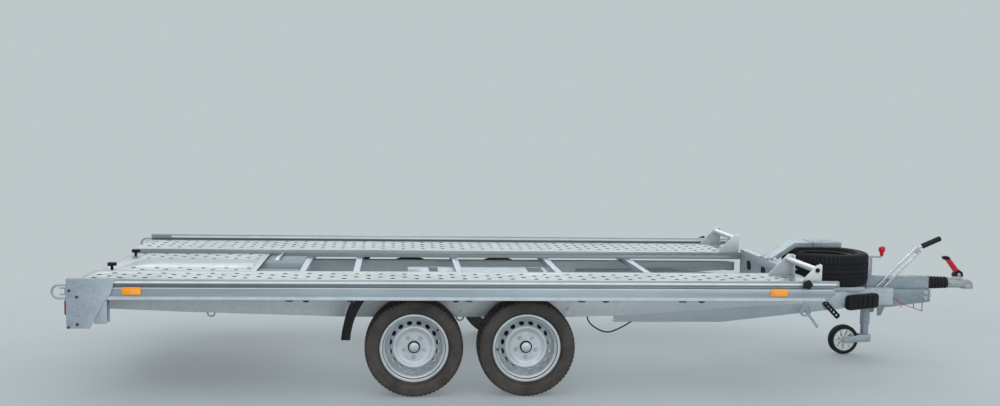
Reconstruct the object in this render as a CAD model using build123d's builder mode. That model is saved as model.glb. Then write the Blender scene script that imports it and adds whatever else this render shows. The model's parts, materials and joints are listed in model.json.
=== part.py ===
from math import atan2, cos, radians, sin, tan
import os

from build123d import *

# Car transport trailer: two open tracks on a bolted galvanised chassis with a tandem axle,
# a V drawbar with an overrun coupling, a jockey wheel, a spare wheel and a winch stand.
# Millimetres. +X points to the coupling, +Y to the trailer's left, +Z up, and the floor is Z = 0.
# The origin is on the floor, halfway between the rear loops and the coupling's nose.

# Overall sizes
deck_length = 4000
deck_width = 2000
drawbar_reach = 1290
rear_loop_reach = 77
rear_x = rear_loop_reach - (rear_loop_reach + deck_length + drawbar_reach) / 2
front_x = rear_x + deck_length
nose_x = front_x + drawbar_reach
rail_outer_y = deck_width / 2

# Heights
track_top_z = 613.5
rail_lip_rise = 34.5
rail_height = 107
frame_depth = 137
member_top_z = 530
member_deep_z = member_top_z - frame_depth

# Wheels and tyres, 195/50 R13 on 13 inch rims
tyre_radius = 262.5
tyre_width = 196
wheel_track = 1586
axle_middle = 2042
axle_spacing = 600
bead_radius = 165
rim_flange_radius = 182.5
rim_inner_width = 140
rim_wall = 4
well_radius = 149
disc_offset = 30
seat_gap = 0.3
running_gap = 0.05
# A tyre's outline: rises above the rim's edge, then drops below the tread, with setbacks from its side
tyre_foot_rise = 4
tyre_cheek_rise = 12
tyre_cheek_setback = 8
tyre_belly_drop = 50
tyre_shoulder_drop = 22
tyre_shoulder_setback = 4
tyre_crown_drop = 2
tyre_crown_setback = 22
# A rim's barrel: where it steps down to the well, seen from its middle
well_inner_side = (-40, -30)
well_outer_side = (15, 40)
# A rim's disc: a raised ring between the vents and the flat that is bolted on
disc_edge_heights = (6, 10)
disc_edge_width = 8
disc_ring_radii = (112, 102)
disc_ring_rise = 10
disc_flat_radius = 84
disc_bore_radius = 33
# A drum's rounded shoulder and its hollow: distance in from the outside, and back from the disc
drum_radius = 130
drum_depth = 70
drum_shoulder = ((36, 0), (20, 14), (0, 34))
drum_hollow = ((9, 44), (26, 27), (40, 12))
drum_rim = 9
drum_mouth = 6
hub_rise = 4
hub_root = 8
hub_back_root = 4
stub_radius = 20
hub_radius = 29.7
brake_gap = 5
plate_wall = 5

# Side rails
rail_wall = 16
lip_height = 27
lip_width = 32
groove_height = 21
groove_depth = 9
rail_band_height = 15
rail_band_step = 1.5
rail_body_setback = 21
rail_nose_chamfer = 38
lip_corner = 9
lip_top_z = track_top_z + rail_lip_rise
rail_bottom_z = lip_top_z - rail_height
rail_inner_y = rail_outer_y - rail_wall

# Tracks
sheet = 3.5
track_inner_y = 462
track_outer_y = rail_outer_y - lip_width
track_front_gap = 45
bar_size = 38
bar_wall = 3
bar_top_z = member_top_z + bar_size
# Where each long rib stands, as a share of the track's width
track_ribs = (0.36, 0.677)
# Distance of each cross bar's centre from the rear edge of the deck; the second carries the mudguards
guard_bar_gap = 329
bar_places = (1100, axle_middle - axle_spacing / 2 - guard_bar_gap, 2020, 2614, 3155)
carrier_place = 880
ramp_height = 50

# Side members: folded channels, deepest over the axles
member_tyre_gap = 34
member_web_y = (wheel_track - tyre_width) / 2 - member_tyre_gap
member_wall = 4
member_flange = 50
member_rear_gap = 60
member_front_gap = 70
# Bottom edge: heights of its two ends above the deepest part, and between them
# each point's share of the deck's length and its height
member_rear_rise = 46
member_front_rise = 78
member_belly = ((0.125, 27), (0.35, 0), (0.651, 0), (0.7225, 9), (0.855, 47))

# Ramp stowage between the tracks at the rear
cover_drop = 23.5
cover_length = 850
carrier_end = member_web_y - member_wall
ramp_bottom_z = member_top_z - member_wall
ramp_inner_y = 130
ramp_outer_y = 450
ramp_skin = 4
ramp_rib_height = 6
ramp_cells = 4
ramp_ribs = 11

# Rear beam with the lamps, and the plates that close the rails
beam_setback = 10
beam_bottom_z = 440
lamp_length = 210
lamp_height = 80
lamp_depth = 45
lamp_corner = 14
lamp_y = 810
rear_plate = 4
rear_plate_low_z = 397
rear_plate_length = 238
rear_plate_foot = 115
rear_plate_shoulder = (219, 74)
rear_plate_knee = (190, 109)

# Torsion axles
axle_tube = 80
axle_tube_wall = 5
arm_reach = 150
arm_rise = 60
arm_thickness = 30
axle_block_length = 110
axle_end_gap = 3
axle_saddle = 4
axle_tube_corner = 10
swing_root_radius = 38
swing_end_radius = 34
swing_boss_radius = 46
backplate_margin = 4

# Drawbar
arm_bottom_z = 365
arm_height = 105
arm_width = 50
arm_wall = 4
arm_lap = 1150
arm_bend_setback = 530
arm_meet = 600
arm_end = 720
arm_top_z = arm_bottom_z + arm_height
arm_lap_clearance = 2

# Overrun coupling
housing_half_width = 60
housing_wall = 6
housing_start = 580
housing_end = 985
housing_bottom_z = 343
housing_nose_rise = 35
housing_plate_top_z = 455
housing_top_z = 530
box_half_width = 32
# Tabs and pins that hang from the cheeks, from the deck's front edge
cheek_tab_start = 642
cheek_tab_length = 50
cheek_tab_tip = (4, 26)
cheek_tab_depth = 54
cheek_pins = ((799, 341), (937, 315))
cheek_pin_radius = 3
draw_axis_z = 491
draw_tube_radius = 25
draw_tube_wall = 5
bellows_length = 130
bellows_radius = 41
bellows_folds = 6
bellows_root = bellows_radius - 10
# Start and end of a fold's crest, as shares of the fold
fold_crest = (0.35, 0.65)
winch_hole_radius = 5.5
ball_radius = 25.2
ball_depth = 32
ball_drop = 20
dome_radius = 40
head_sleeve_radius = 34
head_side_margin = 3
head_roof_margin = 4
head_corner = 14
lug_start = 92
lug_length = 62
lug_half_width = 13
lug_top_rise = 60
# Outline of the handle above its lug: place behind the ball and height above the lug
handle_outline = (
    (30, 0),
    (38, 24),
    (60, 43),
    (122, 118),
    (136, 125),
    (165, 120),
    (162, 108),
    (142, 100),
    (87, 28),
    (92, 13),
    (92, 0),
)
handle_half_width = 13

# Handbrake lever
lever_pivot_place = 622
lever_pivot_z = 425
lever_angle = 45
lever_length = 400
lever_bar = 12
lever_pitch = 34
lever_thickness = 9
lever_pin_radius = 8
lever_eye_radius = 24
lever_slot_margin = 60
lever_slot_shift = 10
neck_overlap = 20
neck_length = 26
grip_radius = 15
grip_length = 128
grip_droop = 20
grip_corner = 5
lever_y = -43

# Jockey wheel
jockey_place = 660
sleeve_radius = 30
sleeve_bottom_z = 195
sleeve_top_z = 622
leg_radius = 25
jockey_wheel_radius = 95
jockey_wheel_width = 50
jockey_trail = 140
jockey_clamp_gap = 12
jockey_y = housing_half_width + arm_width + jockey_clamp_gap + sleeve_radius
jockey_lift = 55
sleeve_cap = 10
leg_wall = 5
leg_foot_rise = 35
leg_top_gap = 12
clamp_lift = 17
clamp_height = 60
clamp_wall = 8
clamp_width = 70
fork_gap = 5
fork_plate = 5
fork_crown_length = 60
fork_crown_height = 45
fork_ear_radius = 18
jockey_pin_radius = 8
jockey_pin_end = 4
jockey_rim_radius = 70
jockey_rim_wall = 8
jockey_rim_setback = 4
jockey_hub_radius = 20
jockey_spoke_count = 8
jockey_spoke_width = 9
jockey_spoke_setback = 8
jockey_tyre_corner = 9
crank_hub_radius = 13
crank_hub_height = 6
crank_reach = 93
crank_rod = 10
# Outline of the crank's knob: radius and height above the rod
crank_knob = ((10, 0), (12, 20), (20, 28), (20, 52), (15, 60))

# Spare wheel
spare_place = 314
spare_plate_z = arm_top_z + 24
spare_plate_length = 340
spare_plate_half_width = 230
spare_plate_sheet = 4
spare_post_radius = 28

# Winch stand
stand_half_width = 75
stand_top_z = 740
stand_flange = 22
stand_sheet = 5
stand_bend_reach = 90
stand_reach = 383
stand_foot_length = 20
stand_flange_gap = 4
winch_plate_length = 180
winch_plate_half_width = 85
winch_plate_depth = 30
winch_hole_pitch = 90
winch_hole_setback = 70

# Wheel stops stand on the front end of each track, which is set a little lower for them
ear_sheet = 5
ear_length = 142
ear_front_setback = 80
ear_top_length = 26
ear_inner_gap = 38
ear_outer_gap = 18
ear_inner_flange = 50
ear_outer_flange = 30
stop_seat_drop = 1
stop_seat_margin = 8
stop_rise = 119
stop_tube_radius = 16.5
stop_tube_wall = 3
stop_tube_rise = 89
stop_tube_setback = 26

# Loops behind the rails
loop_rod = 12
loop_low_rise = 8
loop_high_drop = 32

# Front beam
beam_place = 80
front_beam_flange = 46
front_beam_top_z = track_top_z + 23.5
front_hole_pitch = 280
front_hole_length = 95
front_hole_height = 60

# Leg brackets under the rails' tails
leg_width = 60
leg_sheet = 4
leg_start = 135
leg_end = 198
leg_low_z = 420

# Lashing eyes under the side members
eye_rod_radius = 4.5
eye_bend_radius = 19
eye_drop = 28
eye_rear_place = 653
eye_middle_setback = 4
eye_places = (eye_rear_place, deck_length / 2 - eye_middle_setback)
eye_y = member_web_y - member_flange / 2

# Brake cables and the rod
brake_cable_radius = 4
brake_cable_bend = 60
brake_cable_inset = 41
brake_cable_drop = 38
cable_axle_gap = 216
cable_loop_length = 254
cable_loop_depth = 65
cable_loop_fall = 84
cable_loop_climb = 98
brake_rod_radius = 5
brake_rod_drop = 12

# Cable tray under the cross bars
tray_inner_y = 90
tray_outer_y = 310
tray_margin = 15
tray_sheet = 4
tray_start = 1718
tray_slots = ((1848, 1903), (2462, 2560))

# Mudguards: the arcs' centre lies ahead of the rear wheels and above them
guard_radius = 450
guard_ahead = 67
guard_rise = 29
guard_sheet = 3
guard_lip = 48
guard_front_gap = 200
guard_low_rise = 50
guard_inner_gap = 5
guard_outer_gap = 4

# Breakaway cable: place from the housing's back and drop below its top plate
breakaway_radius = 2
breakaway_bend = 60
breakaway_points = ((34, 3), (156, 48), (230, 95), (354, 137))

# Side markers
marker_length = 95
marker_height = 40
marker_thickness = 6
marker_corner = 8
marker_rise = 47
marker_rear_place = 319
marker_front_setback = 331
marker_places = (marker_rear_place, deck_length - marker_front_setback)

# Lock knobs
knob_radius = 26
knob_thickness = 18
knob_lobes = 5
knob_lobe_radius = 8
knob_neck_radius = 8
rail_knob_neck = 8
ramp_knob_neck = 24
rail_knob_place = 182
ramp_knob_place = 50
ramp_knob_y = 290

# Wheel chock on the right arm
chock_place = 479
chock_length = 262
chock_height = 90
chock_thickness = 42
chock_drop = 18
chock_corner = 22
chock_edge = 10

os.makedirs("parts", exist_ok=True)

axle_x = rear_x + axle_middle
wheel_y = wheel_track / 2
sides = ((-1, "right"), (1, "left"))


def save(piece, label):
    """Label a finished piece and write it under its own name."""
    piece.part.label = label
    export_step(piece.part, f"parts/{label}.step")


def folded(points, thickness):
    """Closed outline of a sheet of the given thickness laid on the left of a line of points."""
    inner = []
    for index, (x, y) in enumerate(points):
        before = points[max(index - 1, 0)]
        after = points[min(index + 1, len(points) - 1)]
        if index == 0:
            before = (2 * x - after[0], 2 * y - after[1])
        if index == len(points) - 1:
            after = (2 * x - before[0], 2 * y - before[1])
        heading_in = atan2(y - before[1], x - before[0])
        heading_out = atan2(after[1] - y, after[0] - x)
        half_turn = (heading_out - heading_in) / 2
        normal = heading_in + half_turn + radians(90)
        reach = thickness / cos(half_turn)
        inner.append((x + reach * cos(normal), y + reach * sin(normal)))
    return [*points, *reversed(inner)]


# Side rails: an extruded section with a rounded lip, a groove and a flat face
for side, side_name in sides:
    outer = side * rail_outer_y
    inward = -side
    with BuildPart() as side_rail:
        with BuildSketch(Plane.YZ.offset(rear_x)):
            with BuildLine():
                Polyline(
                    (outer, rail_bottom_z),
                    (outer, rail_bottom_z + rail_band_height),
                    (outer + inward * rail_band_step, rail_bottom_z + rail_band_height),
                    (outer + inward * rail_band_step, lip_top_z - lip_height - groove_height),
                    (outer + inward * groove_depth, lip_top_z - lip_height - groove_height),
                    (outer + inward * groove_depth, lip_top_z - lip_height),
                    (outer, lip_top_z - lip_height),
                    (outer, lip_top_z),
                    (outer + inward * lip_width, lip_top_z),
                    (outer + inward * lip_width, lip_top_z - lip_height),
                    (outer + inward * rail_wall, lip_top_z - lip_height),
                    (outer + inward * rail_wall, rail_bottom_z),
                    close=True,
                )
            face = make_face()
            lip_corners = face.vertices().filter_by_position(Axis.Y, lip_top_z - 1, lip_top_z + 1)
            fillet(lip_corners, lip_corner)
        extrude(amount=deck_length)
        with BuildSketch(Plane.XZ):
            body_end = front_x - rail_body_setback
            lip_low = lip_top_z - lip_height
            with BuildLine():
                Polyline(
                    (front_x + 1, lip_low),
                    (body_end, lip_low),
                    (body_end, rail_bottom_z + rail_nose_chamfer),
                    (body_end - rail_nose_chamfer, rail_bottom_z - 1),
                    (front_x + 1, rail_bottom_z - 1),
                    close=True,
                )
            make_face()
        extrude(amount=deck_width, both=True, mode=Mode.SUBTRACT)
    save(side_rail, f"side_rail_{side_name}")

# Where the wheel stops stand on the tracks
ear_inner_y = track_inner_y + ear_inner_gap
ear_outer_y = track_outer_y - ear_outer_gap
ear_front_x = front_x - ear_front_setback
ear_back_x = ear_front_x - ear_length
stop_seat_z = track_top_z - stop_seat_drop

# Tracks: folded sheets with turned-down edges and two long ribs
for side, side_name in sides:
    with BuildPart() as track:
        with BuildSketch(Plane.YZ.offset(rear_x)):
            edge_height = track_top_z - bar_top_z
            track_width = track_outer_y - track_inner_y
            middle = side * (track_inner_y + track_outer_y) / 2
            with Locations((middle, track_top_z - sheet / 2)):
                Rectangle(track_width, sheet)
            rib_places = [track_inner_y + share * track_width for share in track_ribs]
            for y in (track_inner_y + sheet / 2, *rib_places, track_outer_y - sheet / 2):
                with Locations((side * y, bar_top_z + edge_height / 2)):
                    Rectangle(sheet, edge_height)
        extrude(amount=deck_length - track_front_gap)
        with Locations((ear_back_x - stop_seat_margin, middle, stop_seat_z)):
            Box(
                deck_length,
                track_width,
                stop_seat_drop,
                align=(Align.MIN, Align.CENTER, Align.MIN),
                mode=Mode.SUBTRACT,
            )
    save(track, f"track_{side_name}")

# Side members: channels whose belly follows the loads
belly = [
    (rear_x + member_rear_gap, member_deep_z + member_rear_rise),
    *((rear_x + share * deck_length, member_deep_z + rise) for share, rise in member_belly),
    (front_x - member_front_gap, member_deep_z + member_front_rise),
]
for side, side_name in sides:
    with BuildPart() as side_member:
        outline = [*belly, (belly[-1][0], member_top_z), (belly[0][0], member_top_z)]
        with BuildSketch(Plane.XZ.offset(-side * member_web_y)):
            with BuildLine():
                Polyline(*outline, close=True)
            make_face()
        extrude(amount=side * member_flange)
        with BuildSketch(Plane.XZ.offset(-side * (member_web_y - member_wall))):
            with BuildLine():
                Polyline(*outline, close=True)
            make_face()
            offset(amount=-member_wall, kind=Kind.INTERSECTION, mode=Mode.REPLACE)
        extrude(amount=side * member_flange, mode=Mode.SUBTRACT)
        lap_start = front_x - arm_lap
        with Locations((lap_start, side * (member_web_y - member_wall), arm_top_z + arm_lap_clearance)):
            Box(
                deck_length,
                member_flange,
                arm_height * 2,
                align=(Align.MIN, Align.MAX if side > 0 else Align.MIN, Align.MAX),
                mode=Mode.SUBTRACT,
            )
    save(side_member, f"side_member_{side_name}")

# Cross bars: square tubes from rail to rail, and a lower one that carries the ramps
with BuildPart() as cross_bars:
    for place in bar_places:
        with BuildSketch(Plane.XZ):
            with Locations((rear_x + place, member_top_z + bar_size / 2)):
                Rectangle(bar_size, bar_size)
                Rectangle(bar_size - 2 * bar_wall, bar_size - 2 * bar_wall, mode=Mode.SUBTRACT)
        extrude(amount=rail_inner_y, both=True)
    with BuildSketch(Plane.XZ):
        with Locations((rear_x + carrier_place, ramp_bottom_z - bar_size / 2)):
            Rectangle(bar_size, bar_size)
            Rectangle(bar_size - 2 * bar_wall, bar_size - 2 * bar_wall, mode=Mode.SUBTRACT)
    extrude(amount=carrier_end, both=True)
save(cross_bars, "cross_bars")

# Ramp cover: a sheet between the tracks, a little below them
with BuildPart() as ramp_cover:
    with BuildSketch(Plane.XY.offset(track_top_z - cover_drop)):
        with Locations((rear_x, 0)):
            Rectangle(cover_length, 2 * track_inner_y, align=(Align.MIN, Align.CENTER))
    extrude(amount=-sheet)
save(ramp_cover, "ramp_cover")

# Loading ramps: ribbed extrusions stowed under the cover
ramp_start = rear_x + beam_setback
ramp_end = rear_x + bar_places[0] - bar_size / 2
with BuildPart() as ramps:
    ramp_width = ramp_outer_y - ramp_inner_y
    ramp_y = (ramp_outer_y + ramp_inner_y) / 2
    ramp_body = ramp_height - ramp_rib_height
    with BuildSketch(Plane.YZ.offset(ramp_start)):
        with Locations((ramp_y, ramp_bottom_z)):
            Rectangle(ramp_width, ramp_body, align=(Align.CENTER, Align.MIN))
        with Locations((ramp_y, ramp_bottom_z + ramp_skin)):
            with GridLocations(ramp_width / ramp_cells, 0, ramp_cells, 1):
                Rectangle(
                    ramp_width / ramp_cells - ramp_skin,
                    ramp_body - 2 * ramp_skin,
                    align=(Align.CENTER, Align.MIN),
                    mode=Mode.SUBTRACT,
                )
        with Locations((ramp_y, ramp_bottom_z + ramp_body)):
            with GridLocations((ramp_width - ramp_skin) / (ramp_ribs - 1), 0, ramp_ribs, 1):
                Rectangle(ramp_skin, ramp_rib_height, align=(Align.CENTER, Align.MIN))
    extrude(amount=ramp_end - ramp_start)
    mirror(about=Plane.XZ)
save(ramps, "ramps")

# Rear beam: a channel across the frame's tail, with the lamps on its back
with BuildPart() as rear_beam:
    beam_back = rear_x + beam_setback
    beam_front = rear_x + member_rear_gap
    with BuildSketch(Plane.XZ):
        with BuildLine():
            Polyline(
                *folded(
                    [
                        (beam_front, beam_bottom_z),
                        (beam_back, beam_bottom_z),
                        (beam_back, ramp_bottom_z),
                        (beam_front, ramp_bottom_z),
                    ],
                    -member_wall,
                ),
                close=True,
            )
        make_face()
    extrude(amount=rail_outer_y, both=True)
save(rear_beam, "rear_beam")

# Leg brackets: short channels under the rails' tails, on the inside of the rear plates
with BuildPart() as leg_brackets:
    with BuildSketch(Plane.XY.offset(leg_low_z)):
        with Locations((rear_x + (leg_start + leg_end) / 2, rail_outer_y - leg_width / 2)):
            Rectangle(leg_end - leg_start, leg_width)
            with Locations((leg_sheet, 0)):
                Rectangle(
                    leg_end - leg_start - leg_sheet,
                    leg_width - 2 * leg_sheet,
                    mode=Mode.SUBTRACT,
                )
    extrude(amount=rail_bottom_z - leg_low_z)
    mirror(about=Plane.XZ)
save(leg_brackets, "leg_brackets")

# Tail lamps on the back of the rear beam
with BuildPart() as tail_lamps:
    with BuildSketch(Plane.YZ.offset(beam_back)):
        with Locations((-lamp_y, ramp_bottom_z - lamp_height / 2), (lamp_y, ramp_bottom_z - lamp_height / 2)):
            RectangleRounded(lamp_length, lamp_height, lamp_corner)
    extrude(amount=-lamp_depth)
save(tail_lamps, "tail_lamps")

# Rear plates: gussets on the outside of the rails, bolted to the rear beam
with BuildPart() as rear_plates:
    with BuildSketch(Plane.XZ.offset(rail_outer_y)):
        with BuildLine():
            Polyline(
                (rear_x, lip_top_z),
                (rear_x + rear_plate_length, lip_top_z),
                (rear_x + rear_plate_shoulder[0], lip_top_z - rear_plate_shoulder[1]),
                (rear_x + rear_plate_knee[0], lip_top_z - rear_plate_knee[1]),
                (rear_x + rear_plate_foot, rear_plate_low_z),
                (rear_x, rear_plate_low_z),
                close=True,
            )
        make_face()
    extrude(amount=rear_plate)
    mirror(about=Plane.XZ)
save(rear_plates, "rear_plates")

# Loops behind the rails, for lifting and lashing
loop_low_z = rail_bottom_z + loop_low_rise
loop_high_z = lip_top_z - loop_high_drop
loop_y = rail_outer_y - rail_wall / 2
with BuildPart() as lashing_loops:
    loop_bend = (loop_high_z - loop_low_z) / 2
    bend_x = rear_x - rear_loop_reach + loop_rod / 2 + loop_bend
    with BuildLine(Plane.XZ.offset(loop_y)) as loop_path:
        Line((rear_x, loop_high_z), (bend_x, loop_high_z))
        ThreePointArc(
            (bend_x, loop_high_z),
            (bend_x - loop_bend, (loop_high_z + loop_low_z) / 2),
            (bend_x, loop_low_z),
        )
        Line((bend_x, loop_low_z), (rear_x, loop_low_z))
    with BuildSketch(Plane((rear_x, -loop_y, loop_high_z), x_dir=(0, 1, 0), z_dir=(-1, 0, 0))):
        Circle(loop_rod / 2)
    sweep(path=loop_path.line)
    mirror(about=Plane.XZ)
save(lashing_loops, "lashing_loops")

# Front beam: a plate with three lightening holes, standing on the drawbar's arms
with BuildPart() as front_beam:
    with BuildSketch(Plane.XZ):
        with BuildLine():
            Polyline(
                *folded(
                    [
                        (front_x - beam_place + front_beam_flange, arm_top_z),
                        (front_x - beam_place, arm_top_z),
                        (front_x - beam_place, front_beam_top_z),
                        (front_x - beam_place + front_beam_flange, front_beam_top_z),
                    ],
                    -member_wall,
                ),
                close=True,
            )
        make_face()
    extrude(amount=track_inner_y, both=True)
    with BuildSketch(Plane.YZ.offset(front_x - beam_place)):
        with Locations((0, (arm_top_z + front_beam_top_z) / 2)):
            with GridLocations(front_hole_pitch, 0, 3, 1):
                SlotOverall(front_hole_length, front_hole_height)
    extrude(amount=member_wall, mode=Mode.SUBTRACT)
save(front_beam, "front_beam")

# Drawbar arms: channels that lap the side members, turn in, and close on the coupling's housing
arm_outer_y = member_web_y - member_wall
arm_nose_y = housing_half_width + arm_width
for side, side_name in sides:
    arm_line = [
        (front_x - arm_lap, side * arm_outer_y),
        (front_x - arm_bend_setback, side * arm_outer_y),
        (front_x + arm_meet, side * arm_nose_y),
        (front_x + arm_end, side * arm_nose_y),
    ]
    with BuildPart() as drawbar_arm:
        for z, thickness, width in (
            (arm_bottom_z, arm_wall, arm_width),
            (arm_bottom_z, arm_height, arm_wall),
            (arm_top_z - arm_wall, arm_wall, arm_width),
        ):
            with BuildSketch(Plane.XY.offset(z)):
                with BuildLine():
                    Polyline(*folded(arm_line, -side * width), close=True)
                make_face()
            extrude(amount=thickness)
    save(drawbar_arm, f"drawbar_arm_{side_name}")


def belly_z(x):
    """Height of the side members' bottom edge at a place along the trailer."""
    for (near_x, near_z), (far_x, far_z) in zip(belly, belly[1:]):
        if near_x <= x <= far_x:
            return near_z + (far_z - near_z) * (x - near_x) / (far_x - near_x)
    return member_deep_z


# Lashing eyes: bent rods under the side members
with BuildPart() as lashing_eyes:
    for place in eye_places:
        eye_x = rear_x + place
        eye_top_z = min(belly_z(eye_x - eye_bend_radius), belly_z(eye_x + eye_bend_radius)) - seat_gap
        bend_z = eye_top_z - eye_drop + eye_bend_radius + eye_rod_radius
        with BuildLine(Plane.XZ.offset(eye_y)) as eye_path:
            Line((eye_x - eye_bend_radius, eye_top_z), (eye_x - eye_bend_radius, bend_z))
            ThreePointArc(
                (eye_x - eye_bend_radius, bend_z),
                (eye_x, bend_z - eye_bend_radius),
                (eye_x + eye_bend_radius, bend_z),
            )
            Line((eye_x + eye_bend_radius, bend_z), (eye_x + eye_bend_radius, eye_top_z))
        with BuildSketch(Plane((eye_x - eye_bend_radius, -eye_y, eye_top_z), z_dir=(0, 0, -1))):
            Circle(eye_rod_radius)
        sweep(path=eye_path.line)
    mirror(about=Plane.XZ)
save(lashing_eyes, "lashing_eyes")

# Brake cables: each hangs in a shallow loop from the side member to the drawbar's arm
brake_cable_y = member_web_y - brake_cable_inset
cable_loop_start = axle_x + axle_spacing / 2 + arm_reach + cable_axle_gap
cable_loop_end = cable_loop_start + cable_loop_length
cable_loop_z = arm_bottom_z - cable_loop_depth
with BuildPart() as brake_cables:
    cable_start_z = belly_z(cable_loop_start) - seat_gap
    with BuildLine(Plane.XZ.offset(brake_cable_y)) as loop_line:
        FilletPolyline(
            (cable_loop_start, cable_start_z),
            (cable_loop_start, cable_start_z - brake_cable_drop),
            (cable_loop_start + cable_loop_fall, cable_loop_z),
            (cable_loop_end - cable_loop_climb, cable_loop_z),
            (cable_loop_end, arm_bottom_z - brake_cable_radius),
            radius=brake_cable_bend,
        )
    with BuildSketch(Plane(loop_line.line @ 0, z_dir=loop_line.line % 0)):
        Circle(brake_cable_radius)
    sweep(path=loop_line.line)
    mirror(about=Plane.XZ)
save(brake_cables, "brake_cables")

# Cable tray: a slotted sheet under the middle cross bars
with BuildPart() as cable_tray:
    with BuildSketch(Plane.XY.offset(member_top_z - tray_sheet)):
        tray_end = bar_places[3] + bar_size / 2
        tray_middle_y = (tray_inner_y + tray_outer_y) / 2
        with Locations((rear_x + (tray_start + tray_end) / 2, tray_middle_y)):
            Rectangle(tray_end - tray_start, tray_outer_y - tray_inner_y)
        for slot_start, slot_end in tray_slots:
            with Locations((rear_x + (slot_start + slot_end) / 2, tray_middle_y)):
                Rectangle(
                    slot_end - slot_start,
                    tray_outer_y - tray_inner_y - 2 * tray_margin,
                    mode=Mode.SUBTRACT,
                )
    extrude(amount=tray_sheet)
save(cable_tray, "cable_tray")


def make_tyre(plane, axis):
    """A tyre with upright sidewalls and rounded shoulders, seated on the rim's beads."""
    half = tyre_width / 2
    bead_half = rim_inner_width / 2 - seat_gap
    bore = bead_radius + seat_gap
    shoulder = (tyre_radius - tyre_shoulder_drop, half - tyre_shoulder_setback)
    crown = (tyre_radius - tyre_crown_drop, half - tyre_crown_setback)
    with BuildPart() as tyre:
        with BuildSketch(plane):
            with BuildLine():
                Polyline(
                    (bore, 0),
                    (bore, bead_half),
                    (rim_flange_radius + tyre_foot_rise, bead_half),
                    (rim_flange_radius + tyre_cheek_rise, half - tyre_cheek_setback),
                    (tyre_radius - tyre_belly_drop, half),
                    shoulder,
                )
                TangentArc(shoulder, crown, tangent=(tyre_belly_drop - tyre_shoulder_drop, -tyre_shoulder_setback))
                Line(crown, (tyre_radius, 0))
                mirror(about=Plane.XZ)
            make_face()
        revolve(axis=axis)
    return tyre


def make_rim(plane, axis):
    """A pressed steel rim: barrel with a well, and a vented disc set towards its outer side."""
    flange_half = rim_inner_width / 2
    with BuildPart() as rim:
        with BuildSketch(plane):
            with BuildLine():
                Polyline(
                    *folded(
                        [
                            (rim_flange_radius, -flange_half),
                            (bead_radius, -flange_half),
                            (bead_radius, well_inner_side[0]),
                            (well_radius, well_inner_side[1]),
                            (well_radius, well_outer_side[0]),
                            (bead_radius, well_outer_side[1]),
                            (bead_radius, flange_half),
                            (rim_flange_radius, flange_half),
                        ],
                        rim_wall,
                    ),
                    close=True,
                )
            make_face()
            with BuildLine():
                Polyline(
                    *folded(
                        [
                            (well_radius - rim_wall, disc_edge_heights[0]),
                            (well_radius - rim_wall - disc_edge_width, disc_edge_heights[1]),
                            (disc_ring_radii[0], disc_offset + disc_ring_rise),
                            (disc_ring_radii[1], disc_offset + disc_ring_rise),
                            (disc_flat_radius, disc_offset),
                            (disc_bore_radius, disc_offset),
                        ],
                        -rim_wall,
                    ),
                    close=True,
                )
            make_face()
        revolve(axis=axis)
    return rim


def make_drum(plane, axis):
    """A hub and brake drum, bolted to the inside of the rim's disc and open to the axle."""
    drum_back = disc_offset - drum_depth
    with BuildPart() as drum:
        with BuildSketch(plane):
            with BuildLine():
                Polyline(
                    (stub_radius + running_gap, drum_back + drum_mouth),
                    (stub_radius + running_gap, disc_offset + hub_rise),
                    (hub_radius, disc_offset + hub_rise),
                    (hub_radius, disc_offset),
                    *((drum_radius - inset, disc_offset - depth) for inset, depth in drum_shoulder),
                    (drum_radius, drum_back),
                    (drum_radius - drum_rim, drum_back),
                    *((drum_radius - inset, disc_offset - depth) for inset, depth in drum_hollow),
                    (hub_radius + hub_root, disc_offset - drum_hollow[-1][1]),
                    (hub_radius + hub_back_root, drum_back + drum_mouth),
                    close=True,
                )
            make_face()
        revolve(axis=axis)
    return drum


# Road wheels: each is a tyre, a rim and a drum that turn together
wheel_places = (
    (-axle_spacing / 2, "rear"),
    (axle_spacing / 2, "front"),
)
for side, side_name in sides:
    for shift, place_name in wheel_places:
        centre = (axle_x + shift, side * wheel_y, tyre_radius)
        wheel_plane = Plane(centre, x_dir=(1, 0, 0), z_dir=(0, 0, side))
        wheel_axis = Axis(centre, (0, 1, 0))
        save(make_tyre(wheel_plane, wheel_axis), f"tyre_{place_name}_{side_name}")
        save(make_rim(wheel_plane, wheel_axis), f"rim_{place_name}_{side_name}")
        save(make_drum(wheel_plane, wheel_axis), f"drum_{place_name}_{side_name}")

# Torsion axles: a square tube under the side members, held by a block on each side
tube_z = tyre_radius + arm_rise
tube_top_z = tube_z + axle_tube / 2
tube_end_y = member_web_y - axle_end_gap
arm_inner_y = tube_end_y
arm_face_y = arm_inner_y + arm_thickness
drum_back_y = wheel_y + disc_offset - drum_depth
plate_face_y = drum_back_y - brake_gap
for shift, place_name in wheel_places:
    wheel_x = axle_x + shift
    tube_x = wheel_x + arm_reach
    with BuildPart() as axle:
        with BuildSketch(Plane.XZ):
            with Locations((tube_x, tube_z)):
                RectangleRounded(axle_tube, axle_tube, axle_tube_corner)
                Rectangle(axle_tube - 2 * axle_tube_wall, axle_tube - 2 * axle_tube_wall, mode=Mode.SUBTRACT)
        extrude(amount=tube_end_y, both=True)
        for side, side_name in sides:
            with Locations((tube_x, side * (member_web_y - member_flange), tube_top_z - axle_saddle)):
                Box(
                    axle_block_length,
                    member_flange - axle_end_gap,
                    member_deep_z - tube_top_z + axle_saddle,
                    align=(Align.CENTER, Align.MIN if side > 0 else Align.MAX, Align.MIN),
                )
    save(axle, f"axle_{place_name}")

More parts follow.
